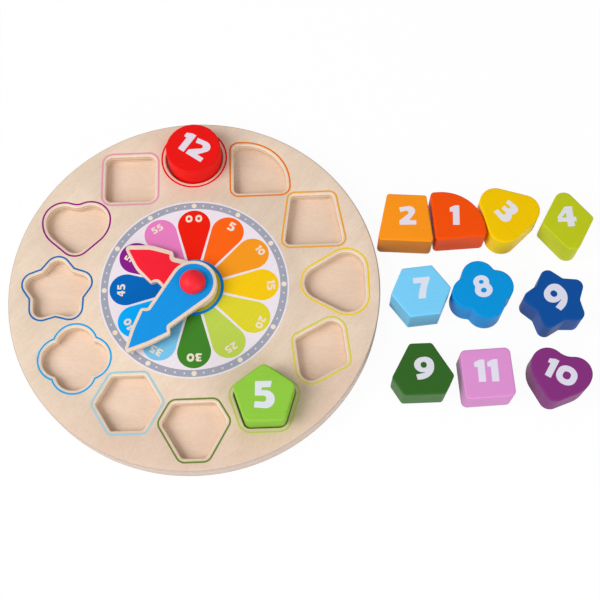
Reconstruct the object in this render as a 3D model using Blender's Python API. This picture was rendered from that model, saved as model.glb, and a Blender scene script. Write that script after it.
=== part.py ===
"""Clock shape sorter: a round two-layer plywood board with twelve shaped pockets, twelve number blocks that
lift out of them, and two clock hands that turn on a dowel under a half-ball knob.

Frame: metres, +Z up. The origin is the middle of the board's underside, +Y points to twelve o'clock and +X to
three o'clock. Two blocks stand in their pockets, and the other ten lie on the table beside the board.
"""

import math

import bmesh
import bpy
from mathutils import Matrix

MM = 0.001

# Spaces between pieces
SEAT_GAP = 0.3 * MM
TURNING_GAP = 0.3 * MM
BLOCK_CLEARANCE = 0.7 * MM
CIRCLE_CLEARANCE = 1.2 * MM

# Faceting: how far a flat facet may fall inside its arc, how near two points are the same, and the least
# radius of any rounding
FACET_SAG = 0.12 * MM
SAME_POINT = 0.001 * MM
LEAST_RADIUS = 50 * SAME_POINT
OVERRUN = 1.0 * MM

# Pocket ring: one pocket for each hour, each within one span, with a least gap between neighbours
HOURS = 12
POCKET_SPAN = 48.0 * MM
POCKET_GAP = 7.5 * MM
RING_RADIUS = HOURS * (POCKET_SPAN + POCKET_GAP) / math.tau
ROUND_PLACE_SHARE = 1.034
POCKET_PLACE_SHARES = {
    12: (0.000, ROUND_PLACE_SHARE),
    1: (0.485, 0.923),
    2: (0.863, 0.501),
    3: (1.029, 0.003),
    4: (0.883, -0.502),
    5: (0.481, -0.851),
    6: (0.000, -1.021),
    7: (-0.454, -0.830),
    8: (-0.831, -0.498),
    9: (-0.977, 0.017),
    10: (-0.857, 0.492),
    11: (-0.471, 0.879),
}

# Pocket outlines: rounding discs as (x, y, radius) shares of the pocket's span, from its middle and
# counterclockwise. The wall runs from disc to disc along their outer tangents, and a negative radius is a
# hollow corner.
CIRCLE_ROUND_SHARE = 0.465
QUARTER_SHARES = (
    (-0.342, -0.345, 0.078),
    (0.328, -0.324, 0.098),
    (-0.275, -0.265, 0.698),
    (-0.342, 0.355, 0.078),
)
TRAPEZOID_SHARES = (
    (-0.368, -0.347, 0.078),
    (0.368, -0.347, 0.078),
    (0.278, 0.362, 0.057),
    (-0.278, 0.362, 0.057),
)
TRIANGLE_REACH_SHARE = 0.257
TRIANGLE_ROUND_SHARE = 0.275
RHOMBUS_SHARES = (
    (-0.166, -0.298, 0.172),
    (0.306, -0.158, 0.078),
    (0.166, 0.298, 0.172),
    (-0.306, 0.158, 0.078),
)
PENTAGON_REACH_SHARE = 0.365
PENTAGON_ROUND_SHARE = 0.120
CUT_TRIANGLE_SHARES = (
    (-0.134, -0.381, 0.078),
    (0.134, -0.381, 0.078),
    (0.399, 0.085, 0.078),
    (0.272, 0.305, 0.078),
    (-0.272, 0.305, 0.078),
    (-0.399, 0.085, 0.078),
)
HEXAGON_REACH_SHARE = 0.438
HEXAGON_ROUND_SHARE = 0.043
CLOVER_LOBE_SHARE = 0.218
CLOVER_ROUND_SHARE = 0.282
CLOVER_CUSP_SHARE = 0.042
STAR_TIP_SHARE = 0.373
STAR_ROUND_SHARE = 0.134
STAR_WAIST_SHARE = 0.378
STAR_HOLLOW_SHARE = 0.042
HEART_SHARES = (
    (0.0, -0.235, 0.182),
    (0.065, 0.137, 0.416),
    (0.212, 0.137, 0.269),
    (0.0, 0.635, -0.272),
    (-0.212, 0.137, 0.269),
    (-0.065, 0.137, 0.416),
)
SQUARE_SHARES = (
    (-0.292, -0.295, 0.106),
    (0.292, -0.295, 0.106),
    (0.292, 0.295, 0.106),
    (-0.292, 0.295, 0.106),
)

# Board: a top layer cut through by the pockets, glued on a plain base layer. Its rim is measured from the
# wall of the round pocket, the outermost one.
RIM_WIDTH = 8.1 * MM
BOARD_RADIUS = RING_RADIUS * ROUND_PLACE_SHARE + POCKET_SPAN * CIRCLE_ROUND_SHARE + RIM_WIDTH
BASE_THICKNESS = 9.0 * MM
TOP_THICKNESS = 7.0 * MM
RIM_ROUND = 1.2 * MM
SEAM_ROUND = 0.4 * MM
POCKET_CHAMFER = 0.9 * MM
BASE_TOP = BASE_THICKNESS
BOARD_BOTTOM = BASE_TOP + SEAT_GAP
BOARD_TOP = BOARD_BOTTOM + TOP_THICKNESS

# Blocks. Ten of them lie on the table: each one's middle, as shares of the pocket's span to the right of
# the board's edge and up from its middle line, and its turn in degrees. The two seated ones lie aside from
# their pockets' middles by shares of their clearance.
BLOCK_HEIGHT = 24.0 * MM
BLOCK_ROUND = 1.2 * MM
ROUND_STEPS = 2
LOOSE_PLACE_SHARES = {
    2: (0.47, 1.00),
    1: (1.30, 1.02),
    3: (2.09, 1.01),
    4: (3.02, 0.84),
    7: (0.61, -0.26),
    8: (1.57, -0.27),
    9: (2.68, -0.47),
    6: (0.54, -1.55),
    11: (1.51, -1.62),
    10: (2.58, -1.71),
}
SEATED_ASIDE_SHARES = {12: (0.62, -0.3), 5: (0.5, 0.0)}
LOOSE_TURNS = {2: -5.0, 1: 2.0, 3: -48.0, 4: 32.0, 7: 5.0, 8: 13.0, 9: 13.5, 6: 180.0, 11: 2.0, 10: -22.5}

# Hub: a dowel in a blind hole, and the half-ball knob on its end
DOWEL_RADIUS = 4.0 * MM
DOWEL_DEPTH_SHARE = 0.62
DOWEL_CHAMFER = 0.4 * MM
KNOB_RADIUS = 9.65 * MM
KNOB_HEIGHT = 9.2 * MM
KNOB_ROUND = 0.8 * MM
KNOB_SOCKET_SHARE = 0.49
KNOB_TURNS = 40
KNOB_RISE_STEPS = 8

# Hands: arrows cut from thin plywood, round at the hub and barbed behind the head, that reach to the edge
# of the dial within the pocket ring
DIAL_MARGIN = 10.5 * MM
DIAL_RADIUS = RING_RADIUS - POCKET_SPAN / 2 - DIAL_MARGIN
HAND_THICKNESS = 4.4 * MM
HAND_EDGE_ROUND = 0.5 * MM
HAND_HALF_WIDTH = 14.8 * MM
HAND_ROUND = 2.4 * MM
HUB_RADIUS = 17.9 * MM
NOTCH_ROUND = 1.4 * MM
NOTCH_FLAT = 0.9 * MM
MINUTE_REACH_SHARE = 0.989
MINUTE_BARB_SHARE = 0.430
MINUTE_NECK_SHARE = 0.777
MINUTE_TIP_ROUND = 2.4 * MM
MINUTE_CHEEK_RADIUS = 34.0 * MM
MINUTE_CHEEK_BULGE = 1.0 * MM
MINUTE_ANGLE = 136.5
HOUR_REACH_SHARE = 0.848
HOUR_BARB_SHARE = 0.262
HOUR_NECK_SHARE = 0.790
HOUR_TIP_ROUND = 3.2 * MM
HOUR_CHEEK_RADIUS = 24.0 * MM
HOUR_CHEEK_BULGE = 2.6 * MM
HOUR_ANGLE = 57.0

# Heights of the stack on the hub
HOUR_BOTTOM = BOARD_TOP + TURNING_GAP
MINUTE_BOTTOM = HOUR_BOTTOM + HAND_THICKNESS + TURNING_GAP
KNOB_BOTTOM = MINUTE_BOTTOM + HAND_THICKNESS + TURNING_GAP
SOCKET_TOP = KNOB_BOTTOM + KNOB_HEIGHT * KNOB_SOCKET_SHARE
DOWEL_BOTTOM = BASE_TOP - BASE_THICKNESS * DOWEL_DEPTH_SHARE
DOWEL_TOP = SOCKET_TOP - SEAT_GAP


def disc_list(shares, grow):
    """Rounding discs in metres, grown outwards by a distance."""
    discs = []
    for x, y, radius in shares:
        size = radius * POCKET_SPAN + grow
        size = max(size, LEAST_RADIUS) if radius > 0 else min(size, -LEAST_RADIUS)
        discs.append((x * POCKET_SPAN, y * POCKET_SPAN, size))
    return discs


def polygon_discs(sides, reach_share, round_share, first_angle, grow):
    """A regular polygon with round corners, its first corner in a given direction."""
    turns = [math.radians(first_angle) + math.tau * side / sides for side in range(sides)]
    corners = [(reach_share * math.cos(turn), reach_share * math.sin(turn), round_share) for turn in turns]
    return disc_list(corners, grow)


def alternating_discs(count, first_angle, outer, inner):
    """Discs in turn on two rings: outer and inner are each a (reach, radius) pair."""
    discs = []
    for index in range(2 * count):
        reach, radius = inner if index % 2 else outer
        turn = math.radians(first_angle) + math.pi * index / count
        discs.append((reach * math.cos(turn), reach * math.sin(turn), radius))
    return discs


def clover_discs(grow):
    """Four round lobes on the axes, with a small hollow where two lobes meet."""
    lobes = 4
    lobe_reach = CLOVER_LOBE_SHARE * POCKET_SPAN
    lobe_radius = CLOVER_ROUND_SHARE * POCKET_SPAN + grow
    cusp_radius = max(CLOVER_CUSP_SHARE * POCKET_SPAN - grow, LEAST_RADIUS)
    half_turn = math.pi / lobes
    across = lobe_reach * math.sin(half_turn)
    cusp_reach = lobe_reach * math.cos(half_turn) + math.sqrt((lobe_radius + cusp_radius) ** 2 - across**2)
    return alternating_discs(lobes, 0.0, (lobe_reach, lobe_radius), (cusp_reach, -cusp_radius))


def star_discs(grow):
    """Five round tips, one of them up, with a slight hollow between each two."""
    tips = 5
    tip_reach = STAR_TIP_SHARE * POCKET_SPAN
    tip_radius = STAR_ROUND_SHARE * POCKET_SPAN
    waist = STAR_WAIST_SHARE * POCKET_SPAN
    half_turn = math.pi / tips
    away_x = tip_reach * math.cos(half_turn) - waist
    away_y = tip_reach * math.sin(half_turn)
    slope = math.atan2(away_y, away_x) - math.asin(tip_radius / math.hypot(away_x, away_y))
    hollow_radius = max(STAR_HOLLOW_SHARE * POCKET_SPAN - grow, LEAST_RADIUS)
    hollow_reach = waist + (grow + hollow_radius) / math.sin(slope)
    outer = (tip_reach, max(tip_radius + grow, LEAST_RADIUS))
    return alternating_discs(tips, 90.0, outer, (hollow_reach, -hollow_radius))


def triangle_discs(grow):
    return polygon_discs(3, TRIANGLE_REACH_SHARE, TRIANGLE_ROUND_SHARE, 180.0, grow)


def pentagon_discs(grow):
    return polygon_discs(5, PENTAGON_REACH_SHARE, PENTAGON_ROUND_SHARE, 90.0, grow)


def hexagon_discs(grow):
    return polygon_discs(6, HEXAGON_REACH_SHARE, HEXAGON_ROUND_SHARE, 0.0, grow)


def circle_discs(grow):
    return disc_list([(0.0, 0.0, CIRCLE_ROUND_SHARE)], grow)


def quarter_discs(grow):
    return disc_list(QUARTER_SHARES, grow)


def trapezoid_discs(grow):
    return disc_list(TRAPEZOID_SHARES, grow)


def rhombus_discs(grow):
    return disc_list(RHOMBUS_SHARES, grow)


def cut_triangle_discs(grow):
    return disc_list(CUT_TRIANGLE_SHARES, grow)


def heart_discs(grow):
    return disc_list(HEART_SHARES, grow)


def square_discs(grow):
    return disc_list(SQUARE_SHARES, grow)


# Hour, name of the shape, its outline and its colour
SHAPES = (
    (12, "circle", circle_discs, (0.87, 0.01, 0.01)),
    (1, "quarter_circle", quarter_discs, (0.88, 0.07, 0.005)),
    (2, "trapezoid", trapezoid_discs, (0.96, 0.32, 0.015)),
    (3, "triangle", triangle_discs, (0.87, 0.52, 0.002)),
    (4, "rhombus", rhombus_discs, (0.47, 0.56, 0.015)),
    (5, "pentagon", pentagon_discs, (0.27, 0.60, 0.05)),
    (6, "cut_triangle", cut_triangle_discs, (0.04, 0.13, 0.02)),
    (7, "hexagon", hexagon_discs, (0.19, 0.60, 0.90)),
    (8, "clover", clover_discs, (0.005, 0.28, 0.71)),
    (9, "star", star_discs, (0.01, 0.08, 0.34)),
    (10, "heart", heart_discs, (0.24, 0.03, 0.21)),
    (11, "square", square_discs, (0.71, 0.26, 0.62)),
)


def wall_normal(disc, following):
    """Direction of the outward normal of the straight wall that joins two discs."""
    away_x = following[0] - disc[0]
    away_y = following[1] - disc[1]
    lean = (disc[2] - following[2]) / math.hypot(away_x, away_y)
    return math.atan2(away_y, away_x) - math.acos(max(-1.0, min(1.0, lean)))


def arcs_of(discs):
    """(first normal, turn) of the arc on each disc. The turn is negative on a hollow corner."""
    if len(discs) == 1:
        return [(0.0, math.tau)]
    arcs = []
    for index, disc in enumerate(discs):
        first = wall_normal(discs[index - 1], disc)
        last = wall_normal(disc, discs[(index + 1) % len(discs)])
        turn = (last - first) % math.tau if disc[2] > 0 else -((first - last) % math.tau)
        arcs.append((first, turn))
    return arcs


def arc_steps(radius, turn):
    """How many facets keep an arc within the allowed sag."""
    facet_turn = 2 * math.acos(1 - FACET_SAG / max(abs(radius), 2 * FACET_SAG))
    return max(1, math.ceil(abs(turn) / facet_turn))


def outline(make_discs, grow):
    """Points round an outline that is grown by a distance. Every growth of one outline has as many points."""
    plain = make_discs(0.0)
    steps = [arc_steps(disc[2], turn) for disc, (first, turn) in zip(plain, arcs_of(plain))]
    discs = make_discs(grow)
    points = []
    for (x, y, radius), (first, turn), count in zip(discs, arcs_of(discs), steps):
        for step in range(count + 1):
            normal = first + turn * step / count
            point = (x + radius * math.cos(normal), y + radius * math.sin(normal))
            if not points or math.dist(point, points[-1]) > SAME_POINT:
                points.append(point)
    if math.dist(points[0], points[-1]) < SAME_POINT:
        points.pop()
    return points


def one_disc(radius):
    """The outline of a round piece, as a function of its growth."""

    def discs(grow):
        return [(0.0, 0.0, radius + grow)]

    return discs


def rounded_levels(bottom, top, bottom_round, top_round):
    """(height, growth) pairs that take a piece from bottom to top with both of its edges rounded."""
    quarter = [math.pi / 2 * step / ROUND_STEPS for step in range(ROUND_STEPS + 1)]
    lower = [(bottom + bottom_round * (1 - math.cos(a)), -bottom_round * (1 - math.sin(a))) for a in quarter]
    upper = [(top - top_round * (1 - math.sin(a)), -top_round * (1 - math.cos(a))) for a in quarter]
    return lower + upper


def loft(name, make_discs, levels):
    """A closed solid through one outline at several heights, each with its own growth."""
    shape = bmesh.new()
    loops = []
    for height, grow in levels:
        verts = [shape.verts.new((x, y, height)) for x, y in outline(make_discs, grow)]
        loops.append([shape.edges.new(pair) for pair in zip(verts, verts[1:] + verts[:1])])
    for lower, upper in zip(loops, loops[1:]):
        bmesh.ops.bridge_loops(shape, edges=lower + upper)
    bmesh.ops.edgeloop_fill(shape, edges=loops[0])
    bmesh.ops.edgeloop_fill(shape, edges=loops[-1])
    bmesh.ops.recalc_face_normals(shape, faces=shape.faces)
    return finish_mesh(name, shape)


def turned(name, profile, steps):
    """A closed solid turned round the Z axis from (radius, height) points whose ends lie on the axis."""
    shape = bmesh.new()
    verts = [shape.verts.new((radius, 0.0, height)) for radius, height in profile]
    edges = [shape.edges.new(pair) for pair in zip(verts, verts[1:])]
    bmesh.ops.spin(
        shape,
        geom=verts + edges,
        cent=(0.0, 0.0, 0.0),
        axis=(0.0, 0.0, 1.0),
        angle=math.tau,
        steps=steps,
        use_merge=True,
    )
    bmesh.ops.remove_doubles(shape, verts=shape.verts, dist=SAME_POINT)
    bmesh.ops.recalc_face_normals(shape, faces=shape.faces)
    return finish_mesh(name, shape)


def finish_mesh(name, shape):
    mesh = bpy.data.meshes.new(name)
    shape.to_mesh(mesh)
    shape.free()
    mesh.shade_smooth()
    mesh.set_sharp_from_angle(angle=math.radians(30))
    return mesh


def add_object(name, mesh, place=(0.0, 0.0, 0.0), turn=0.0):
    piece = bpy.data.objects.new(name, mesh)
    piece.location = place
    piece.rotation_euler = (0.0, 0.0, math.radians(turn))
    bpy.context.scene.collection.objects.link(piece)
    return piece


def finish_piece(piece, colour, roughness):
    """Gives a piece its own material."""
    material = bpy.data.materials.new(piece.name)
    material.use_nodes = True
    shader = material.node_tree.nodes["Principled BSDF"]
    shader.inputs["Base Color"].default_value = (*colour, 1.0)
    shader.inputs["Roughness"].default_value = roughness
    shader.inputs["Metallic"].default_value = 0.0
    piece.data.materials.append(material)
    return piece


def cut(piece, cutter, name):
    """Subtracts a helper from a piece, and keeps the helper out of the model."""
    cutter.hide_render = True
    cutter.display_type = "WIRE"
    modifier = piece.modifiers.new(name, "BOOLEAN")
    modifier.operation = "DIFFERENCE"
    modifier.solver = "EXACT"
    modifier.object = cutter


BIRCH = (0.78, 0.62, 0.44)
PALE_BIRCH = (0.84, 0.70, 0.53)
KNOB_RED = (0.80, 0.03, 0.05)
HOUR_RED = (0.93, 0.02, 0.03)
MINUTE_BLUE = (0.01, 0.29, 0.78)
WOOD_ROUGHNESS = 0.6
PAINT_ROUGHNESS = 0.35


def hole_cutter(name, radius, bottom, top):
    """A plain cylinder on the hub's axis."""
    return add_object(name, loft(name, one_disc(radius), ((bottom, 0.0), (top, 0.0))))


def base_board():
    """The lower layer, with the dowel's blind hole in its top face."""
    levels = rounded_levels(0.0, BASE_TOP, RIM_ROUND, SEAM_ROUND)
    board = add_object("base_board", loft("base_board", one_disc(BOARD_RADIUS), levels))
    hole = hole_cutter(
        "dowel_seat_cutter",
        DOWEL_RADIUS + SEAT_GAP,
        DOWEL_BOTTOM - SEAT_GAP,
        BASE_TOP + OVERRUN,
    )
    cut(board, hole, "dowel seat")
    return finish_piece(board, BIRCH, WOOD_ROUGHNESS)


def pocket_middle(hour):
    return [share * RING_RADIUS for share in POCKET_PLACE_SHARES[hour]]


def pocket_cutters():
    """All twelve pockets as one helper: straight walls, flared at the top into the pocket's chamfer."""
    levels = (
        (BOARD_BOTTOM - OVERRUN, 0.0),
        (BOARD_TOP - POCKET_CHAMFER, 0.0),
        (BOARD_TOP + OVERRUN, POCKET_CHAMFER + OVERRUN),
    )
    every = bmesh.new()
    for hour, shape_name, make_discs, colour in SHAPES:
        pocket = loft("pocket_" + shape_name, make_discs, levels)
        pocket.transform(Matrix.Translation((*pocket_middle(hour), 0.0)))
        every.from_mesh(pocket)
    return add_object("pocket_cutters", finish_mesh("pocket_cutters", every))


def top_board():
    """The upper layer, cut through by the pockets and by the dowel's hole."""
    levels = rounded_levels(BOARD_BOTTOM, BOARD_TOP, SEAM_ROUND, RIM_ROUND)
    board = add_object("top_board", loft("top_board", one_disc(BOARD_RADIUS), levels))
    cut(board, pocket_cutters(), "pockets")
    hole = hole_cutter(
        "dowel_hole_cutter",
        DOWEL_RADIUS + SEAT_GAP,
        BOARD_BOTTOM - OVERRUN,
        BOARD_TOP + OVERRUN,
    )
    cut(board, hole, "dowel hole")
    return finish_piece(board, PALE_BIRCH, WOOD_ROUGHNESS)


def shrunk(make_discs, inset):
    """An outline drawn in by a distance, as a function of its growth."""

    def discs(grow):
        return make_discs(grow - inset)

    return discs


def block_clearance(hour):
    """How much smaller than its pocket a block is all round: the circle fits the loosest."""
    return CIRCLE_CLEARANCE if hour == HOURS else BLOCK_CLEARANCE


def block(hour, shape_name, make_discs, colour, place, turn):
    """A number block: its pocket's outline less the clearance, with every edge rounded."""
    name = f"block_{hour:02d}_{shape_name}"
    levels = rounded_levels(0.0, BLOCK_HEIGHT, BLOCK_ROUND, BLOCK_ROUND)
    mesh = loft(name, shrunk(make_discs, block_clearance(hour)), levels)
    return finish_piece(add_object(name, mesh, place, turn), colour, PAINT_ROUGHNESS)


def blocks():
    """Two blocks seated in their pockets, and ten on the table."""
    for hour, shape_name, make_discs, colour in SHAPES:
        if hour in LOOSE_PLACE_SHARES:
            right, up = [share * POCKET_SPAN for share in LOOSE_PLACE_SHARES[hour]]
            place = (BOARD_RADIUS + right, up, 0.0)
            turn = LOOSE_TURNS[hour]
        else:
            right, up = [share * block_clearance(hour) for share in SEATED_ASIDE_SHARES[hour]]
            middle_x, middle_y = pocket_middle(hour)
            place = (middle_x + right, middle_y + up, BASE_TOP + SEAT_GAP)
            turn = 0.0
        block(hour, shape_name, make_discs, colour, place, turn)


def cheek_disc(barb, tip, radius, bulge):
    """The wide disc that bows the side of the arrow's head between its barb and its tip."""
    along_x = tip[0] - barb[0]
    along_y = tip[1] - barb[1]
    length = math.hypot(along_x, along_y)
    inset = radius - HAND_ROUND - bulge
    middle_x = (barb[0] + tip[0]) / 2
    middle_y = (barb[1] + tip[1]) / 2
    return middle_x - along_y / length * inset, middle_y + along_x / length * inset, radius


def arrow_discs(reach_share, barb_share, neck_share, tip_round, cheek_radius, cheek_bulge):
    """The outline of a hand that points along +Y, as a function of its growth."""
    reach = DIAL_RADIUS * reach_share
    barb_place = HUB_RADIUS + (reach - HUB_RADIUS) * barb_share
    barb = (HAND_HALF_WIDTH - HAND_ROUND, barb_place)
    tip = (0.0, reach - tip_round)
    cheek = cheek_disc(barb, tip, cheek_radius, cheek_bulge)
    notch = (HAND_HALF_WIDTH * neck_share + NOTCH_ROUND, barb_place - HAND_ROUND - NOTCH_FLAT - NOTCH_ROUND)

    def discs(grow):
        hollow = min(grow - NOTCH_ROUND, -LEAST_RADIUS)
        corner = max(HAND_ROUND + grow, LEAST_RADIUS)
        half = [(*notch, hollow), (*barb, corner), (cheek[0], cheek[1], cheek[2] + grow)]
        mirrored = [(-x, y, radius) for x, y, radius in reversed(half)]
        point = max(tip_round + grow, LEAST_RADIUS)
        return [(0.0, 0.0, HUB_RADIUS + grow), *half, (*tip, point), *mirrored]

    return discs


def hand(name, make_discs, bottom, angle, colour):
    """A hand with its hub hole, standing on the hub's axis at its own height."""
    top = bottom + HAND_THICKNESS
    levels = rounded_levels(bottom, top, HAND_EDGE_ROUND, HAND_EDGE_ROUND)
    piece = add_object(name, loft(name, make_discs, levels), turn=angle)
    hole = hole_cutter(name + "_hole_cutter", DOWEL_RADIUS + TURNING_GAP, bottom - OVERRUN, top + OVERRUN)
    cut(piece, hole, "hub hole")
    return finish_piece(piece, colour, PAINT_ROUGHNESS)


def hands():
    minute = arrow_discs(
        MINUTE_REACH_SHARE,
        MINUTE_BARB_SHARE,
        MINUTE_NECK_SHARE,
        MINUTE_TIP_ROUND,
        MINUTE_CHEEK_RADIUS,
        MINUTE_CHEEK_BULGE,
    )
    hour = arrow_discs(
        HOUR_REACH_SHARE,
        HOUR_BARB_SHARE,
        HOUR_NECK_SHARE,
        HOUR_TIP_ROUND,
        HOUR_CHEEK_RADIUS,
        HOUR_CHEEK_BULGE,
    )
    hand("minute_hand", minute, MINUTE_BOTTOM, MINUTE_ANGLE, MINUTE_BLUE)
    hand("hour_hand", hour, HOUR_BOTTOM, HOUR_ANGLE, HOUR_RED)


def hub_dowel():
    """The dowel from the base board's blind hole up into the knob."""
    profile = (
        (0.0, DOWEL_BOTTOM),
        (DOWEL_RADIUS - DOWEL_CHAMFER, DOWEL_BOTTOM),
        (DOWEL_RADIUS, DOWEL_BOTTOM + DOWEL_CHAMFER),
        (DOWEL_RADIUS, DOWEL_TOP - DOWEL_CHAMFER),
        (DOWEL_RADIUS - DOWEL_CHAMFER, DOWEL_TOP),
        (0.0, DOWEL_TOP),
    )
    steps = arc_steps(DOWEL_RADIUS, math.tau)
    return finish_piece(add_object("hub_dowel", turned("hub_dowel", profile, steps)), BIRCH, WOOD_ROUGHNESS)


def hub_knob():
    """The half ball, with the dowel's blind socket in its flat side."""
    socket_radius = DOWEL_RADIUS + SEAT_GAP
    profile = [(0.0, SOCKET_TOP), (socket_radius, SOCKET_TOP), (socket_radius, KNOB_BOTTOM)]
    profile.append((KNOB_RADIUS - KNOB_ROUND, KNOB_BOTTOM))
    equator = KNOB_BOTTOM + KNOB_ROUND
    for step in range(KNOB_RISE_STEPS):
        rise = math.pi / 2 * step / KNOB_RISE_STEPS
        height = equator + (KNOB_HEIGHT - KNOB_ROUND) * math.sin(rise)
        profile.append((KNOB_RADIUS * math.cos(rise), height))
    profile.append((0.0, KNOB_BOTTOM + KNOB_HEIGHT))
    knob = add_object("hub_knob", turned("hub_knob", profile, KNOB_TURNS))
    return finish_piece(knob, KNOB_RED, PAINT_ROUGHNESS)


def clear_scene():
    for piece in list(bpy.data.objects):
        bpy.data.objects.remove(piece)


def main():
    clear_scene()
    base_board()
    top_board()
    blocks()
    hands()
    hub_dowel()
    hub_knob()


main()
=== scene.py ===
"""Clock shape sorter, dressed: the finished pieces, materials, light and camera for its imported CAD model.

Everything is in metres, with +Z up. The origin is the middle of the board's underside, +Y points to twelve
o'clock and +X to three o'clock. The 3D view's sidebar lists the sizes, the colours and one button for each
group of pieces.
"""

import math

import bmesh
import bpy
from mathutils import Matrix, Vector


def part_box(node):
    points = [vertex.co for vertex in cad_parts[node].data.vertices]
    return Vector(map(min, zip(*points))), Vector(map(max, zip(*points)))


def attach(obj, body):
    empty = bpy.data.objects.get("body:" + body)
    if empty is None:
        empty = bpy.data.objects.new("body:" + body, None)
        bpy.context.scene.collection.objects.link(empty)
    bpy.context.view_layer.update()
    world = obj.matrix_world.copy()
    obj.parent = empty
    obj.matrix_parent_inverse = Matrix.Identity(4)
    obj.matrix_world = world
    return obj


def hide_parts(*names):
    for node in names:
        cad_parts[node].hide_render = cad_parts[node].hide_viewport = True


bl_info = {
    "name": "Clock shape sorter",
    "version": (1, 0, 0),
    "blender": (4, 5, 0),
    "location": "3D View > Sidebar > Clock sorter",
    "description": "Builds the boards, dial, hands and number blocks of a wooden clock shape sorter",
    "category": "Add Mesh",
}

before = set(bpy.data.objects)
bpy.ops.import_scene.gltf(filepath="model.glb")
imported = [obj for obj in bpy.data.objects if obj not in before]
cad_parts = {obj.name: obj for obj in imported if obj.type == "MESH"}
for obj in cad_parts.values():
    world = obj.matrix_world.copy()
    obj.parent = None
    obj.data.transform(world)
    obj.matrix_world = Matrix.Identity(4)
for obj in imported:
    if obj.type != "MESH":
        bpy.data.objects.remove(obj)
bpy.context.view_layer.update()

MM = 0.001

# Faceting: how far a facet may fall inside its arc, the widest turn of one facet, how near two points are the
# same, the least radius, how near its end a straight wall gets a row of points that keeps it flat, how far the
# rows in a flat face lie off one another's height, how many facets a rounded edge has, and from which angle on
# an edge looks sharp
FACET_SAG = 0.02 * MM
FACET_TURN = math.radians(9)
SAME_POINT = 0.001 * MM
LEAST_RADIUS = 0.05 * MM
WALL_SUPPORT = 0.12 * MM
FLAT_RISE = 0.002 * MM
ROUND_STEPS = 5
SHARP_ANGLE = math.radians(30)

# Board, from the frame
BOARD_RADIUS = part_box("top_board")[1].x
BASE_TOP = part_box("base_board")[1].z
BOARD_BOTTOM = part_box("top_board")[0].z
BOARD_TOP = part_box("top_board")[1].z

# Pocket ring: where each pocket's middle lies, as (x, y) shares of the ring's radius
HOURS = 12
POCKET_SPAN = 48.0 * MM
POCKET_GAP = 7.5 * MM
RING_RADIUS = HOURS * (POCKET_SPAN + POCKET_GAP) / math.tau
POCKET_PLACES = {
    12: (0.000, 1.034),
    1: (0.485, 0.923),
    2: (0.863, 0.501),
    3: (1.029, 0.003),
    4: (0.883, -0.502),
    5: (0.481, -0.851),
    6: (0.000, -1.021),
    7: (-0.454, -0.830),
    8: (-0.831, -0.498),
    9: (-0.977, 0.017),
    10: (-0.857, 0.492),
    11: (-0.471, 0.879),
}

# Pocket outlines: rounding discs as (x, y, radius) shares of the pocket's span, counterclockwise. The wall
# runs from disc to disc along their outer tangents, and a negative radius is a hollow corner.
QUARTER = ((-0.342, -0.345, 0.078), (0.328, -0.324, 0.098), (-0.275, -0.265, 0.698), (-0.342, 0.355, 0.078))
TRAPEZOID = ((-0.368, -0.347, 0.078), (0.368, -0.347, 0.078), (0.278, 0.362, 0.057), (-0.278, 0.362, 0.057))
RHOMBUS = ((-0.166, -0.298, 0.172), (0.306, -0.158, 0.078), (0.166, 0.298, 0.172), (-0.306, 0.158, 0.078))
CUT_TRIANGLE = (
    (-0.134, -0.381, 0.078),
    (0.134, -0.381, 0.078),
    (0.399, 0.085, 0.078),
    (0.272, 0.305, 0.078),
    (-0.272, 0.305, 0.078),
    (-0.399, 0.085, 0.078),
)
HEART = (
    (0.0, -0.235, 0.182),
    (0.065, 0.137, 0.416),
    (0.212, 0.137, 0.269),
    (0.0, 0.635, -0.272),
    (-0.212, 0.137, 0.269),
    (-0.065, 0.137, 0.416),
)
SQUARE = ((-0.292, -0.295, 0.106), (0.292, -0.295, 0.106), (0.292, 0.295, 0.106), (-0.292, 0.295, 0.106))
# Regular ones: how many corners, how far out their discs lie, the discs' radius, and the first one's direction
TRIANGLE = (3, 0.257, 0.275, 180.0)
PENTAGON = (5, 0.365, 0.120, 90.0)
HEXAGON = (6, 0.438, 0.043, 0.0)
# The other outlines follow a rule. A lobe or tip is how far out its middle lies and its radius, the waist is how
# near to the star's middle two of its straight sides meet, and the hollow radius rounds such a corner.
CIRCLE_RADIUS = 0.465
CLOVER_LOBE = (0.218, 0.282)
STAR_TIP = (0.373, 0.134)
STAR_WAIST = 0.378
HOLLOW_RADIUS = 0.042

# A pocket's bevel is slightly rounded: the (depth, growth) shares of its width between its foot and its lip,
# how far the foot stands off the wall, and how far the lip runs out on the face
BEVEL_ROUND = ((0.55, 0.4), (0.1, 0.85))
BEVEL_FOOT = 0.02 * MM
BEVEL_LIP = 0.1 * MM

# Which faces are sides: those whose normals rise less than this, on the upper layer, its bevels, the other
# plywood pieces and the painted blocks. Sides within the outer band are the upper layer's outer wall.
TOP_SIDE, BEVEL_SIDE, PLY_SIDE, PAINT_SIDE = 0.9, 0.99, 0.5, 0.7
OUTER_BAND = 4.0 * MM

# Blocks: the seated ones' ways off their pockets' middles, as shares of their clearance, and each loose one's
# middle, as shares of the pocket's span to the right of the board's edge and up from its middle line, with its
# turn in degrees
BLOCK_CLEARANCE = 0.7 * MM
CIRCLE_CLEARANCE = 1.2 * MM
SEATED_ASIDE = {12: (0.62, -0.3), 5: (0.5, 0.0)}
LOOSE_PLACES = {
    2: (0.47, 1.00, -5.0),
    1: (1.30, 1.02, 2.0),
    3: (2.09, 1.01, -48.0),
    4: (3.02, 0.84, 32.0),
    7: (0.61, -0.26, 5.0),
    8: (1.57, -0.27, 13.0),
    9: (2.68, -0.47, 13.5),
    6: (0.54, -1.55, 180.0),
    11: (1.51, -1.62, 2.0),
    10: (2.58, -1.71, -22.5),
}

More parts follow.
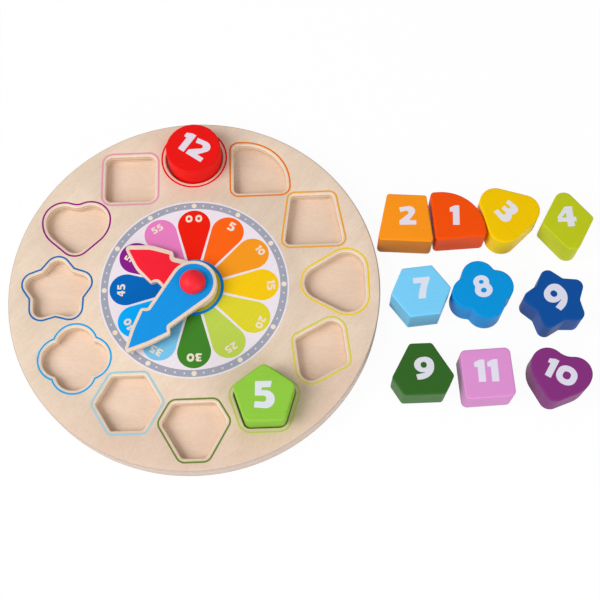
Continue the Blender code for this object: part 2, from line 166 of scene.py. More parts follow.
# Each block's slot, and the painted light and shade on its sides: the share by which the paint on its sides is
# lighter or darker than that on its top. The shares are matched to the photograph, in which the blocks weren't
# all lit alike.
BLOCK_PAINTS_AND_SIDE_LIGHT = {
    12: ("block_red", 1.0),
    1: ("block_orange_red", 1.10),
    2: ("block_orange", 0.72),
    3: ("block_yellow", 1.20),
    4: ("block_lime", 1.03),
    5: ("block_light_green", 0.92),
    6: ("block_dark_green", 1.05),
    7: ("block_pale_blue", 0.80),
    8: ("block_blue", 0.94),
    9: ("block_navy", 0.88),
    10: ("block_purple", 0.78),
    11: ("block_pink", 0.77),
}

# Printed numbers on the blocks: right and up from the block's middle in millimetres, the turn in degrees, the
# height in millimetres and the share by which the digits are wider than drawn
BLOCK_NUMBERS = {
    12: (1.2, 1.3, -35.9, 17.0, 1.15),
    1: (-3.0, -0.7, -3.8, 16.4, 1.11),
    2: (1.0, 1.4, -1.4, 15.6, 1.12),
    3: (-0.9, 1.2, -49.5, 17.0, 1.04),
    4: (-0.5, 3.2, 1.1, 16.7, 1.14),
    5: (0.1, -0.1, -0.8, 20.0, 0.98),
    6: (1.2, 2.2, 180.7, 17.0, 1.14),
    7: (1.3, 2.3, 3.8, 16.8, 1.11),
    8: (-0.3, 2.3, 11.2, 17.6, 1.14),
    9: (0.4, 2.0, 39.5, 19.8, 1.09),
    10: (1.3, 2.6, -32.0, 14.7, 1.18),
    11: (-0.8, 1.9, -0.3, 16.8, 1.13),
}

# Dial print: the gap between two digits as a share of their height, which is wider between the two zeros, and
# the rounding of a petal's inner corners
MINUTES = 60
HOUR_MINUTES = 5
DIGIT_GAP = 0.1
ZEROS_GAP = 0.35
PETAL_NECK_ROUND = 0.3 * MM

# Printed minutes on the dial: distance from the dial's middle and height in millimetres, and how many degrees
# each one lies and leans off its petal's middle line
MINUTE_NUMBERS = {
    0: (56.8, 6.2, -0.2, 0.0),
    5: (56.8, 7.4, 0.7, -1.3),
    10: (57.9, 5.7, 0.9, 2.9),
    15: (57.9, 6.4, 0.6, 0.5),
    20: (57.8, 5.6, 1.3, 2.7),
    25: (56.0, 5.7, 0.8, 1.1),
    30: (55.4, 6.5, -0.2, -0.4),
    35: (56.5, 6.0, -0.3, -0.5),
    40: (55.9, 5.9, -0.1, -2.8),
    45: (54.9, 6.1, -0.2, -0.9),
    50: (56.0, 6.0, 0.0, 0.0),
    55: (56.8, 5.5, 0.1, 0.0),
}

# Dowel and hub, from the frame and as in the model
DOWEL_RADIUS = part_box("hub_dowel")[1].x
SEAT_GAP = 0.3 * MM
HOLE_RADIUS = DOWEL_RADIUS + SEAT_GAP
DOWEL_CHAMFER = 0.4 * MM
KNOB_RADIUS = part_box("hub_knob")[1].x
KNOB_ROUND = 0.8 * MM
KNOB_SOCKET_SHARE = 0.49
KNOB_TURNS = 72
KNOB_RISE_STEPS = 18

# Hands: arrows that reach to the edge of the dial within the pocket ring, with their directions in degrees
# from +Y, counterclockwise
DIAL_MARGIN = 10.5 * MM
DIAL_RADIUS = RING_RADIUS - POCKET_SPAN / 2 - DIAL_MARGIN
HAND_HALF_WIDTH = 14.8 * MM
HAND_ROUND = 2.4 * MM
HUB_RADIUS = 17.9 * MM
NOTCH_ROUND = 1.4 * MM
NOTCH_FLAT = 0.9 * MM
MINUTE_SHAPE = {
    "reach_share": 0.989,
    "barb_share": 0.430,
    "neck_share": 0.777,
    "tip_round": 2.4 * MM,
    "cheek_radius": 34.0 * MM,
    "cheek_bulge": 1.0 * MM,
}
HOUR_SHAPE = {
    "reach_share": 0.848,
    "barb_share": 0.262,
    "neck_share": 0.790,
    "tip_round": 3.2 * MM,
    "cheek_radius": 24.0 * MM,
    "cheek_bulge": 2.6 * MM,
}
MINUTE_ANGLE = 136.5
HOUR_ANGLE = 57.0

# Ink: how thick one printed layer is, and how far all print goes down into the wood
INK = 0.04 * MM
INK_ROOT = 0.02 * MM

# Plywood: the grain's direction on each layer in degrees, the plies in the upper layer and in a hand, and one
# ply of the lower layer
GRAIN_TOP = 46.0
GRAIN_BASE = -8.0
TOP_PLIES = 4
HAND_PLIES = 3
BASE_PLY = 2.0 * MM

# Wood colours that aren't in the sidebar: a veneer's pale, dark and warm figure, where the rim and the hands
# have only the last two, and the pale plies, dark plies and glue lines of an edge
BASE_VENEER = ("#F0D6C1", "#ECCFB8", "#ECCBB4")
RIM_VENEER = ("#EDD8C5", "#EED7C2")
HAND_VENEER = ("#EBD0BB", "#EACDB6")
DOWEL_VENEER = ("#EBD5BB", "#DCC09E", "#E0C09A")
TOP_EDGE = ("#F0DCC4", "#D8BA9A", "#B08A64")
OUTER_EDGE = ("#D8CAC1", "#C6B2A4", "#9E8A7C")
BASE_EDGE = ("#DECBBE", "#C6B0A1", "#9E8676")
HAND_EDGE = ("#F0DAC6", "#DFC3A8", "#B99A7A")

# The board's slightly darker and redder side towards six o'clock: which way it lies, between which distances
# from the middle its tone comes in, and that tone
SIX_OCLOCK_WAY = (0.2, -0.98, 0.0)
SIX_OCLOCK_START = 50 * MM
SIX_OCLOCK_FULL = 110 * MM
SIX_OCLOCK_TONE = (0.955, 0.89, 0.885)

# Stage: the floor's half width and its drop under the board, each lamp's width and place with the place that
# all of them aim at, and the photograph's camera, with its lens and sensor in millimetres and its turn in
# degrees, worked out from the dial's ring of dots for a square frame
FLOOR_REACH = 4.0
FLOOR_DROP = 0.2 * MM
LAMPS = {
    "key": (1.4, (-1.45, -0.4, 1.5)),
    "side": (0.8, (1.1, -1.2, 0.42)),
    "front": (1.4, (0.1, -1.6, 1.4)),
}
LAMP_AIM = (0.1, 0.0, 0.0)
CAMERA_LENS = 63.86
CAMERA_SENSOR = 36.0
CAMERA_PLACE = (0.078825, -0.295054, 0.761022)
CAMERA_TURN = (20.70526, 0.71996, -1.99185)

# Number shapes: outlines as rounding discs in shares of the number's height, from its middle. The first
# outline is the outer one, and the others are its holes. Plain corners are rounded by the bend's radius.
BEND = 0.012
NUMBER_SHAPES = {
    "0": (
        ((0.0, -0.07, 0.43), (0.0, 0.07, 0.43)),
        ((0.0, -0.04, 0.165), (0.0, 0.04, 0.165)),
    ),
    "1": (
        (
            (0.188, -0.488, BEND), (0.188, 0.488, BEND), (0.03, 0.488, BEND), (-0.188, 0.372, BEND),
            (-0.188, 0.182, BEND), (-0.087, 0.158, -BEND), (-0.063, -0.488, BEND),
        ),
    ),
    "2": (
        (
            (-0.353, -0.488, BEND), (0.353, -0.488, BEND), (0.353, -0.282, BEND), (0.088, -0.252, -0.018),
            (0.07, 0.23, 0.27), (-0.343, 0.428, BEND), (-0.298, 0.202, BEND), (-0.055, 0.145, -0.105),
            (-0.353, -0.275, BEND),
        ),
    ),
    "3": (
        (
            (-0.372, -0.435, BEND), (0.114, -0.23, 0.27), (0.27, 0.03, -0.02), (0.09, 0.26, 0.24),
            (-0.324, 0.462, BEND), (-0.308, 0.292, BEND), (-0.09, 0.207, -0.07), (-0.27, 0.117, BEND),
            (-0.243, -0.058, BEND), (-0.043, -0.155, -0.083), (-0.324, -0.238, BEND),
        ),
    ),
    "4": (
        (
            (-0.008, -0.488, BEND), (0.248, -0.488, BEND), (0.272, -0.262, -BEND), (0.348, -0.238, BEND),
            (0.348, -0.052, BEND), (0.272, -0.028, -BEND), (0.248, 0.488, BEND), (-0.03, 0.488, BEND),
            (-0.368, -0.005, BEND), (-0.368, -0.238, BEND), (-0.032, -0.262, -BEND),
        ),
        ((-0.19, -0.028, BEND), (-0.032, -0.028, BEND), (-0.032, 0.17, BEND)),
    ),
    "5": (
        (
            (-0.365, -0.447, BEND), (0.049, -0.169, 0.331), (-0.078, 0.174, -BEND), (-0.078, 0.256, -BEND),
            (0.226, 0.28, BEND), (0.267, 0.488, BEND), (-0.315, 0.488, BEND), (-0.325, -0.018, BEND),
            (-0.037, -0.149, -0.114), (-0.33, -0.247, BEND),
        ),
    ),
    "7": (
        (
            (0.058, -0.488, BEND), (2.56, -0.76, -2.5), (0.322, 0.385, BEND), (0.323, 0.488, BEND),
            (-0.323, 0.488, BEND), (-0.323, 0.247, BEND), (-0.04, 0.223, -BEND), (1.945, -0.73, 2.18),
            (-0.212, -0.488, BEND),
        ),
    ),
    "8": (
        ((0.0, -0.17, 0.33), (0.285, 0.047, -0.02), (0.0, 0.205, 0.295), (-0.285, 0.047, -0.02)),
        ((0.0, 0.2, 0.09),),
        ((0.0, -0.185, 0.11),),
    ),
    "9": (
        (
            (-0.275, -0.492, BEND), (-0.197, 0.061, 0.5657), (0.03, 0.157, 0.338), (-0.035, 0.146, 0.338),
            (0.0, -0.207, -BEND), (-0.31, -0.285, BEND),
        ),
        ((-0.015, 0.116, 0.112), (-0.015, 0.157, 0.112)),
    ),
}
NUMBER_SHAPES["6"] = tuple(tuple((-x, -y, r) for x, y, r in ring) for ring in NUMBER_SHAPES["9"])
NUMBER_WIDTHS = {"0": 0.86, "1": 0.40, "2": 0.73, "3": 0.77, "4": 0.74, "5": 0.76, "7": 0.67, "8": 0.66}
NUMBER_WIDTHS.update({"6": 0.75, "9": 0.75})


def linear(hex_text):
    """An sRGB hex colour as the linear one that Blender's sockets hold."""
    channels = [int(hex_text[place : place + 2], 16) / 255 for place in (1, 3, 5)]
    return tuple(c / 12.92 if c <= 0.04045 else ((c + 0.055) / 1.055) ** 2.4 for c in channels)


def linear_all(*hex_texts):
    """Several sRGB hex colours as linear ones."""
    return [linear(hex_text) for hex_text in hex_texts]


# ---------------------------------------------------------------- outlines


def at_least(size, sign, least=LEAST_RADIUS):
    """A disc's radius, kept from passing through zero: a radius whose sign is negative is a hollow corner."""
    return max(size, least) if sign > 0 else min(size, -least)


def plain_discs(shares):
    """A drawn outline's rounding discs in metres, as a function of how far it is grown outwards."""

    def discs(grow):
        return [
            (x * POCKET_SPAN, y * POCKET_SPAN, at_least(radius * POCKET_SPAN + grow, radius))
            for x, y, radius in shares
        ]

    return discs


def polygon_discs(sides_painted_light, reach_share, round_share, first_angle):
    """A regular polygon with round corners, its first corner in a given direction."""
    turns = [math.radians(first_angle) + math.tau * side / sides_painted_light for side in range(sides_painted_light)]
    return plain_discs([(reach_share * math.cos(t), reach_share * math.sin(t), round_share) for t in turns])


def alternating_discs(count, first_angle, outer, inner):
    """Discs in turn on two rings: outer and inner are each a (reach, radius) pair."""
    discs = []
    for index in range(2 * count):
        reach, radius = inner if index % 2 else outer
        turn = math.radians(first_angle) + math.pi * index / count
        discs.append((reach * math.cos(turn), reach * math.sin(turn), radius))
    return discs


def clover_discs(grow):
    """Four round lobes on the axes, with a small hollow where two lobes meet."""
    lobes = 4
    lobe_reach = CLOVER_LOBE[0] * POCKET_SPAN
    lobe_radius = CLOVER_LOBE[1] * POCKET_SPAN + grow
    cusp_radius = max(HOLLOW_RADIUS * POCKET_SPAN - grow, LEAST_RADIUS)
    half_turn = math.pi / lobes
    across = lobe_reach * math.sin(half_turn)
    cusp_reach = lobe_reach * math.cos(half_turn) + math.sqrt((lobe_radius + cusp_radius) ** 2 - across**2)
    return alternating_discs(lobes, 0.0, (lobe_reach, lobe_radius), (cusp_reach, -cusp_radius))


def star_discs(grow):
    """Five round tips, one of them up, with a slight hollow between each two."""
    tips = 5
    tip_reach, tip_radius = [share * POCKET_SPAN for share in STAR_TIP]
    waist = STAR_WAIST * POCKET_SPAN
    half_turn = math.pi / tips
    away_x = tip_reach * math.cos(half_turn) - waist
    away_y = tip_reach * math.sin(half_turn)
    slope = math.atan2(away_y, away_x) - math.asin(tip_radius / math.hypot(away_x, away_y))
    hollow_radius = max(HOLLOW_RADIUS * POCKET_SPAN - grow, LEAST_RADIUS)
    hollow_reach = waist + (grow + hollow_radius) / math.sin(slope)
    outer = (tip_reach, max(tip_radius + grow, LEAST_RADIUS))
    return alternating_discs(tips, 90.0, outer, (hollow_reach, -hollow_radius))


# Hour: name of the shape and its outline
SHAPES = {
    12: ("circle", plain_discs([(0.0, 0.0, CIRCLE_RADIUS)])),
    1: ("quarter_circle", plain_discs(QUARTER)),
    2: ("trapezoid", plain_discs(TRAPEZOID)),
    3: ("triangle", polygon_discs(*TRIANGLE)),
    4: ("rhombus", plain_discs(RHOMBUS)),
    5: ("pentagon", polygon_discs(*PENTAGON)),
    6: ("cut_triangle", plain_discs(CUT_TRIANGLE)),
    7: ("hexagon", polygon_discs(*HEXAGON)),
    8: ("clover", clover_discs),
    9: ("star", star_discs),
    10: ("heart", plain_discs(HEART)),
    11: ("square", plain_discs(SQUARE)),
}


def wall_normal(disc, following):
    """Direction of the outward normal of the straight wall that joins two discs."""
    away_x = following[0] - disc[0]
    away_y = following[1] - disc[1]
    lean = (disc[2] - following[2]) / math.hypot(away_x, away_y)
    return math.atan2(away_y, away_x) - math.acos(max(-1.0, min(1.0, lean)))


def arcs_of(discs):
    """(first normal, turn) of the arc on each disc. The turn is negative on a hollow corner."""
    if len(discs) == 1:
        return [(0.0, math.tau)]
    arcs = []
    for index, disc in enumerate(discs):
        first = wall_normal(discs[index - 1], disc)
        last = wall_normal(disc, discs[(index + 1) % len(discs)])
        turn = (last - first) % math.tau if disc[2] > 0 else -((first - last) % math.tau)
        arcs.append((first, turn))
    return arcs


def arc_steps(radius, turn):
    """How many facets keep an arc within the allowed sag and turn."""
    facet_turn = 2 * math.acos(1 - FACET_SAG / max(abs(radius), 2 * FACET_SAG))
    return max(1, math.ceil(abs(turn) / min(facet_turn, FACET_TURN)))


def arc_ends(discs):
    """The first and last point of the arc on each disc."""
    ends = []
    for (x, y, radius), (first, turn) in zip(discs, arcs_of(discs)):
        pair = [(x + radius * math.cos(n), y + radius * math.sin(n)) for n in (first, first + turn)]
        ends.append(pair)
    return ends


def outline(make_discs, grow=0.0):
    """Points round an outline that is grown by a distance. Every growth of one outline has as many points,
    and each long straight wall has a point just inside both of its ends."""
    plain = make_discs(0.0)
    steps = [arc_steps(disc[2], turn) for disc, (first, turn) in zip(plain, arcs_of(plain))]
    ends = arc_ends(plain)
    walls = [math.dist(ends[i][1], ends[(i + 1) % len(ends)][0]) for i in range(len(ends))]
    discs = make_discs(grow)
    grown_ends = arc_ends(discs)
    points = []
    for index, ((x, y, radius), (first, turn)) in enumerate(zip(discs, arcs_of(discs))):
        for step in range(steps[index] + 1):
            normal = first + turn * step / steps[index]
            point = (x + radius * math.cos(normal), y + radius * math.sin(normal))
            if not points or math.dist(point, points[-1]) > SAME_POINT:
                points.append(point)
        if len(plain) > 1 and walls[index] > 4 * WALL_SUPPORT:
            start, end = grown_ends[index][1], grown_ends[(index + 1) % len(ends)][0]
            for share in (WALL_SUPPORT / walls[index], 1 - WALL_SUPPORT / walls[index]):
                points.append(tuple(a + (b - a) * share for a, b in zip(start, end)))
    if math.dist(points[0], points[-1]) < SAME_POINT:
        points.pop()
    return points


def one_disc(radius):
    """The outline of a round piece, as a function of its growth."""

    def discs(grow):
        return [(0.0, 0.0, radius + grow)]

    return discs


def moved(points, place=(0.0, 0.0), turn=0.0):
    """Points turned by degrees round the origin, and then moved to a place."""
    c, s = math.cos(math.radians(turn)), math.sin(math.radians(turn))
    return [(place[0] + x * c - y * s, place[1] + x * s + y * c) for x, y in points]


def rounded_levels(bottom, top, bottom_round, top_round):
    """(height, growth) pairs from bottom to top with both edges rounded. Rows close to each rounding keep the
    flat faces and the walls flat in the light. The innermost rows are a hair off the others, because
    bridge_loops pairs two loops by the way from one to the other."""
    quarter = [math.pi / 2 * step / ROUND_STEPS for step in range(ROUND_STEPS + 1)]
    low, high = bottom + FLAT_RISE, top - FLAT_RISE
    lower = [(low + bottom_round * (1 - math.cos(a)), -bottom_round * (1 - math.sin(a))) for a in quarter]
    upper = [(high - top_round * (1 - math.sin(a)), -top_round * (1 - math.cos(a))) for a in quarter]
    return [
        (bottom, -bottom_round - WALL_SUPPORT),
        *lower,
        (low + bottom_round + WALL_SUPPORT, 0.0),
        (high - top_round - WALL_SUPPORT, 0.0),
        *upper,
        (top, -top_round - WALL_SUPPORT),
    ]


def wall(make_discs, levels, place=(0.0, 0.0), turn=0.0):
    """The (points, height) loops of one wall."""
    return [(moved(outline(make_discs, grow), place, turn), height) for height, grow in levels]


# ---------------------------------------------------------------- meshes and pieces


def add_loop(shape, points, height):
    """A closed loop of edges at one height."""
    verts = [shape.verts.new((x, y, height)) for x, y in points]
    return [shape.edges.new(pair) for pair in zip(verts, verts[1:] + verts[:1])]


def solid(walls):
    """A closed solid between its walls: the first is the outer one and the others are holes. All of them start
    at the bottom face and end at the top face."""
    shape = bmesh.new()
    bottom_edges, top_edges = [], []
    for levels in walls:
        loops = [add_loop(shape, points, height) for points, height in levels]
        for lower, upper in zip(loops, loops[1:]):
            bmesh.ops.bridge_loops(shape, edges=lower + upper)
        bottom_edges += loops[0]
        top_edges += loops[-1]
    for edges in (bottom_edges, top_edges):
        bmesh.ops.triangle_fill(shape, use_beauty=True, use_dissolve=False, edges=edges)
    bmesh.ops.recalc_face_normals(shape, faces=shape.faces)
    return shape


def turned(profile, steps):
    """A closed solid turned round the Z axis from (radius, height) points whose ends lie on the axis."""
    shape = bmesh.new()
    verts = [shape.verts.new((radius, 0.0, height)) for radius, height in profile]
    edges = [shape.edges.new(pair) for pair in zip(verts, verts[1:])]
    bmesh.ops.spin(
        shape,
        geom=verts + edges,
        cent=(0.0, 0.0, 0.0),
        axis=(0.0, 0.0, 1.0),
        angle=math.tau,
        steps=steps,
        use_merge=True,
    )
    bmesh.ops.remove_doubles(shape, verts=shape.verts, dist=SAME_POINT)
    bmesh.ops.recalc_face_normals(shape, faces=shape.faces)
    return shape


def plate(outlines, bottom, top):
    """A thin plate between two heights: outlines are closed rings of points, and a ring in a ring is a hole."""
    shape = bmesh.new()
    edges = []
    for points in outlines:
        edges += add_loop(shape, points, bottom)
    bmesh.ops.triangle_fill(shape, use_beauty=True, use_dissolve=False, edges=edges)
    raised = bmesh.ops.extrude_face_region(shape, geom=shape.faces[:])["geom"]
    verts = [part for part in raised if isinstance(part, bmesh.types.BMVert)]
    bmesh.ops.translate(shape, verts=verts, vec=(0.0, 0.0, top - bottom))
    bmesh.ops.recalc_face_normals(shape, faces=shape.faces)
    return shape


def add_piece(name, shape, body, finishes, replaces=()):
    """Makes a piece from its shape, in place of an earlier one of that name, and puts it on its body."""
    earlier = bpy.data.objects.get(name)
    if earlier is not None:
        bpy.data.objects.remove(earlier)
    mesh = bpy.data.meshes.new(name)
    shape.to_mesh(mesh)
    shape.free()
    if not mesh.polygons:
        raise RuntimeError(f"{name} has no faces")
    mesh.shade_smooth()
    mesh.set_sharp_from_angle(angle=SHARP_ANGLE)
    for finish in finishes:
        mesh.materials.append(finish)
    piece = bpy.data.objects.new(name, mesh)
    bpy.context.scene.collection.objects.link(piece)
    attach(piece, body)
    if replaces:
        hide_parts(*replaces)


# ---------------------------------------------------------------- materials


# Sockets of a mix node that mixes colours: its share, its two colours and its result
MIX_SHARE, MIX_FIRST, MIX_SECOND, MIX_RESULT = 0, 6, 7, 2
WHITE = (1.0, 1.0, 1.0)


def add_node(tree, kind, inputs=(), stops=(), **settings):
    """Adds a node with its settings. Each input gets a value, or a link from another node's output, and a
    colour ramp gets its (place, colour) stops."""
    node = tree.nodes.new(kind)
    for name, value in settings.items():
        setattr(node, name, value)
    for key, value in dict(inputs).items():
        if isinstance(value, bpy.types.NodeSocket):
            tree.links.new(value, node.inputs[key])
        else:
            node.inputs[key].default_value = value
    if stops:
        elements = node.color_ramp.elements
        while len(elements) < len(stops):
            elements.new(1.0)
        for element, (place, stop_colour) in zip(elements, stops):
            element.position = place
            element.color = (*stop_colour, 1.0)
    return node


def new_finish(name, roughness, specular=0.5):
    """A fresh material with its shader, in place of an earlier one of that name."""
    earlier = bpy.data.materials.get(name)
    if earlier is not None:
        bpy.data.materials.remove(earlier)
    finish = bpy.data.materials.new(name)
    finish.use_nodes = True
    shader = finish.node_tree.nodes["Principled BSDF"]
    shader.inputs["Metallic"].default_value = 0.0
    shader.inputs["Roughness"].default_value = roughness
    shader.inputs["IOR"].default_value = 1.5
    shader.inputs["Specular IOR Level"].default_value = specular
    return finish, finish.node_tree, shader


def grain_place(tree, turn, place=(0.0, 0.0)):
    """Object coordinates with X along the grain."""
    whole = add_node(tree, "ShaderNodeTexCoord").outputs["Object"]
    away = (-place[0], -place[1], 0.0)
    centred = add_node(tree, "ShaderNodeMapping", {"Vector": whole, "Location": away}).outputs["Vector"]
    back = (0.0, 0.0, -math.radians(turn))
    return add_node(tree, "ShaderNodeMapping", {"Vector": centred, "Rotation": back}).outputs["Vector"]


def streaks(tree, along, length, width, detail, distortion=0.0):
    """Noise drawn out along the grain: length and width are the size of one streak."""
    size = (1 / length, 1 / width, 1 / width)
    scaled = add_node(tree, "ShaderNodeMapping", {"Vector": along, "Scale": size}).outputs["Vector"]
    inputs = {"Vector": scaled, "Scale": 1.0, "Detail": detail, "Roughness": 0.55, "Distortion": distortion}
    return add_node(tree, "ShaderNodeTexNoise", inputs).outputs["Fac"]


def tinted(tree, base, pattern, stops):
    """A colour multiplied by a tone that follows a pattern, by the tone's (place, colour) stops."""
    tone = add_node(tree, "ShaderNodeValToRGB", {"Fac": pattern}, stops).outputs["Color"]
    inputs = {MIX_SHARE: 1.0, MIX_FIRST: base, MIX_SECOND: tone}
    toned = add_node(tree, "ShaderNodeMix", inputs, data_type="RGBA", blend_type="MULTIPLY")
    return toned.outputs[MIX_RESULT]


def cover(tree, shader, surface_colour, relief, strength, depth):
    """Gives a shader its colour, and the slight relief of a pattern that is raised by a depth."""
    tree.links.new(surface_colour, shader.inputs["Base Color"])
    bump = add_node(tree, "ShaderNodeBump", {"Height": relief, "Strength": strength, "Distance": depth})
    tree.links.new(bump.outputs["Normal"], shader.inputs["Normal"])


def birch_veneer(name, colours, turn, darker_at_six=False):
    """Rotary-cut birch veneer under a thin clear lacquer, in its pale, dark and warm colours: soft low-contrast
    figure, fine fibres and short pores. The fibres are drawn 0.9 mm wide and the pores 1.2 mm, because real
    ones of 0.2 mm don't show at this distance."""
    pale, dark, warm = colours
    finish, tree, shader = new_finish(name, 0.52, 0.2)
    along = grain_place(tree, turn)
    figure = streaks(tree, along, 80 * MM, 13 * MM, 3.0, distortion=1.0)
    fibres = streaks(tree, along, 14 * MM, 0.9 * MM, 3.0)
    clouds = streaks(tree, along, 60 * MM, 30 * MM, 2.0)
    pores = streaks(tree, along, 3 * MM, 1.2 * MM, 2.0)
    base = add_node(tree, "ShaderNodeValToRGB", {"Fac": figure}, [(0.25, dark), (0.6, pale)])
    cloud_stops = [(0.45, (0.0, 0.0, 0.0)), (0.75, (0.25, 0.25, 0.25))]
    cloud_share = add_node(tree, "ShaderNodeValToRGB", {"Fac": clouds}, cloud_stops).outputs["Color"]
    inputs = {MIX_SHARE: cloud_share, MIX_FIRST: base.outputs["Color"], MIX_SECOND: (*warm, 1.0)}
    warmed = add_node(tree, "ShaderNodeMix", inputs, data_type="RGBA").outputs[MIX_RESULT]
    fibred = tinted(tree, warmed, fibres, [(0.3, (0.955, 0.945, 0.93)), (0.7, WHITE)])
    pored = tinted(tree, fibred, pores, [(0.4, WHITE), (0.72, (0.945, 0.93, 0.91))])
    toned = heartwood_side(tree, pored) if darker_at_six else pored
    cover(tree, shader, toned, fibres, 0.25, 0.05 * MM)
    return finish


def heartwood_side(tree, base):
    """The slightly redder and darker tone that the board takes on towards six o'clock in the photograph, taken
    for the heartwood side of its sheet of veneer."""
    place = add_node(tree, "ShaderNodeTexCoord").outputs["Object"]
    inputs = {0: place, 1: SIX_OCLOCK_WAY}
    below = add_node(tree, "ShaderNodeVectorMath", inputs, operation="DOT_PRODUCT").outputs["Value"]
    inputs = {"Value": below, "From Min": SIX_OCLOCK_START, "From Max": SIX_OCLOCK_FULL}
    share = add_node(tree, "ShaderNodeMapRange", inputs, interpolation_type="SMOOTHSTEP").outputs["Result"]
    inputs = {MIX_SHARE: share, MIX_FIRST: base, MIX_SECOND: (*SIX_OCLOCK_TONE, 1.0)}
    toned = add_node(tree, "ShaderNodeMix", inputs, data_type="RGBA", blend_type="MULTIPLY")
    return toned.outputs[MIX_RESULT]


def ply_edge(name, bottom, ply, colours):
    """Sawn and sanded plywood edge, in the colours of its pale and dark plies and its glue lines: plies with
    their grain along and across the cut in turn, with thin dark glue lines between them. End grain takes the
    light less, so every second ply is darker. Its specks are drawn 1.6 mm long, several pores together."""
    pale, dark, glue = colours
    finish, tree, shader = new_finish(name, 0.6)
    place = add_node(tree, "ShaderNodeTexCoord").outputs["Object"]
    rise = add_node(tree, "ShaderNodeSeparateXYZ", {"Vector": place}).outputs["Z"]
    for operation, value in (("SUBTRACT", bottom), ("MULTIPLY", 0.5 / ply), ("FRACT", 0.0)):
        rise = add_node(tree, "ShaderNodeMath", {0: rise, 1: value}, operation=operation).outputs["Value"]
    lines = [(0.0, glue), (0.05, pale), (0.45, pale), (0.5, glue), (0.55, dark), (0.95, dark), (1.0, glue)]
    plies = add_node(tree, "ShaderNodeValToRGB", {"Fac": rise}, lines).outputs["Color"]
    size = (1 / (1.6 * MM), 1 / (1.6 * MM), 1 / (0.8 * MM))
    scaled = add_node(tree, "ShaderNodeMapping", {"Vector": place, "Scale": size}).outputs["Vector"]
    inputs = {"Vector": scaled, "Scale": 1.0, "Detail": 3.0}
    specks = add_node(tree, "ShaderNodeTexNoise", inputs).outputs["Fac"]
    specked = tinted(tree, plies, specks, [(0.3, (0.90, 0.88, 0.86)), (0.65, WHITE)])
    cover(tree, shader, specked, specks, 0.3, 0.06 * MM)
    return finish


def shaded(base, share):
    """A linear colour made darker or lighter by a share."""
    return tuple(min(1.0, channel * share) for channel in base)


def thin_paint(name, base, turn, place=(0.0, 0.0), roughness=0.4, depth=0.022, specular=0.07):
    """Water-based enamel sprayed on sanded beech: even colour with a satin sheen, through which the grain
    still shows as faint streaks, lighter and darker by the depth. Streaks are drawn 1.5 mm wide, several pores
    together."""
    finish, tree, shader = new_finish(name, roughness, specular)
    along = grain_place(tree, turn, place)
    grain = streaks(tree, along, 16 * MM, 1.5 * MM, 3.0)
    clouds = streaks(tree, along, 24 * MM, 14 * MM, 1.0)
    stops = [(0.3, shaded(base, 1 - depth)), (0.7, shaded(base, 1 + depth))]
    grained = add_node(tree, "ShaderNodeValToRGB", {"Fac": grain}, stops).outputs["Color"]
    toned = tinted(tree, grained, clouds, [(0.3, shaded(WHITE, 1 - depth)), (0.7, WHITE)])
    inputs = {"Value": grain, "From Min": 0.3, "From Max": 0.7}
    inputs.update({"To Min": roughness - 0.04, "To Max": roughness + 0.06})
    sheen = add_node(tree, "ShaderNodeMapRange", inputs)
    tree.links.new(sheen.outputs["Result"], shader.inputs["Roughness"])
    cover(tree, shader, toned, grain, 0.2, 0.04 * MM)
    return finish


def screen_ink(name, base, turn):
    """Matt screen-printing ink on lacquered veneer: thin and even, with the wood's fibres just showing. They
    are drawn 1.1 mm wide, several together."""
    finish, tree, shader = new_finish(name, 0.5, 0.06)
    fibres = streaks(tree, grain_place(tree, turn), 20 * MM, 1.1 * MM, 3.0)
    stops = [(0.3, shaded(base, 0.965)), (0.7, shaded(base, 1.02))]
    fibred = add_node(tree, "ShaderNodeValToRGB", {"Fac": fibres}, stops).outputs["Color"]
    cover(tree, shader, fibred, fibres, 0.15, 0.03 * MM)
    return finish


# ---------------------------------------------------------------- sizes and colours


# Each hour's colours: its petal, the printed line round its pocket and its block's paint
HOUR_COLOURS = {
    12: ("#EE1D0A", "#E40F1D", "#ED1714"),
    1: ("#FD6513", "#EB7B17", "#F75108"),
    2: ("#F79A20", "#ECA533", "#FF971C"),
    3: ("#F7C912", "#F2CD1A", "#F5C700"),
    4: ("#DED430", "#D8CE4A", "#BFC91F"),
    5: ("#BED352", "#B8C35F", "#90C942"),
    6: ("#41842A", "#6D853A", "#356627"),
    7: ("#78C3EB", "#9BC9D7", "#7AD0FA"),
    8: ("#00ACFB", "#00A3DF", "#0794DD"),
    9: ("#0066BB", "#006BAE", "#0F4F9C"),
    10: ("#8A1D8C", "#930C79", "#86327D"),
    11: ("#E880C1", "#E296AF", "#DF93D2"),
}
PETAL, LINE, PAINT = range(3)


def length(name, description, millimetres):
    """A size that the user can set, with its default in millimetres."""
    return bpy.props.FloatProperty(
        name=name,
        description=description,
        default=millimetres * MM,
        min=0.0,
        precision=5,
        unit="LENGTH",
        subtype="DISTANCE",
    )


def colour(name, description, hex_text):
    """A colour that the user can set."""
    return bpy.props.FloatVectorProperty(
        name=name,
        description=description,
        default=linear(hex_text),
        size=3,
        min=0.0,
        max=1.0,
        subtype="COLOR",
    )


def hour_colours(column, description):
    """A colour for each hour, from a column of their table. Its description can name the minute or shape."""
    colours = {}
    for hour, hex_texts in HOUR_COLOURS.items():
        words = {"minute": hour % HOURS * HOUR_MINUTES, "shape": SHAPES[hour][0].replace("_", " ")}
        colours[f"hour_{hour}"] = colour(str(hour), description.format(**words), hex_texts[column])
    return colours


def factor(name, description, default, least=0.0, most=1.0):
    """A share that the user can set."""
    return bpy.props.FloatProperty(
        name=name,
        description=description,
        default=default,
        min=least,
        max=most,
        subtype="FACTOR",
    )


def power(name, description, watts):
    """A lamp's power."""
    return bpy.props.FloatProperty(name=name, description=description, default=watts, min=0.0, unit="POWER")


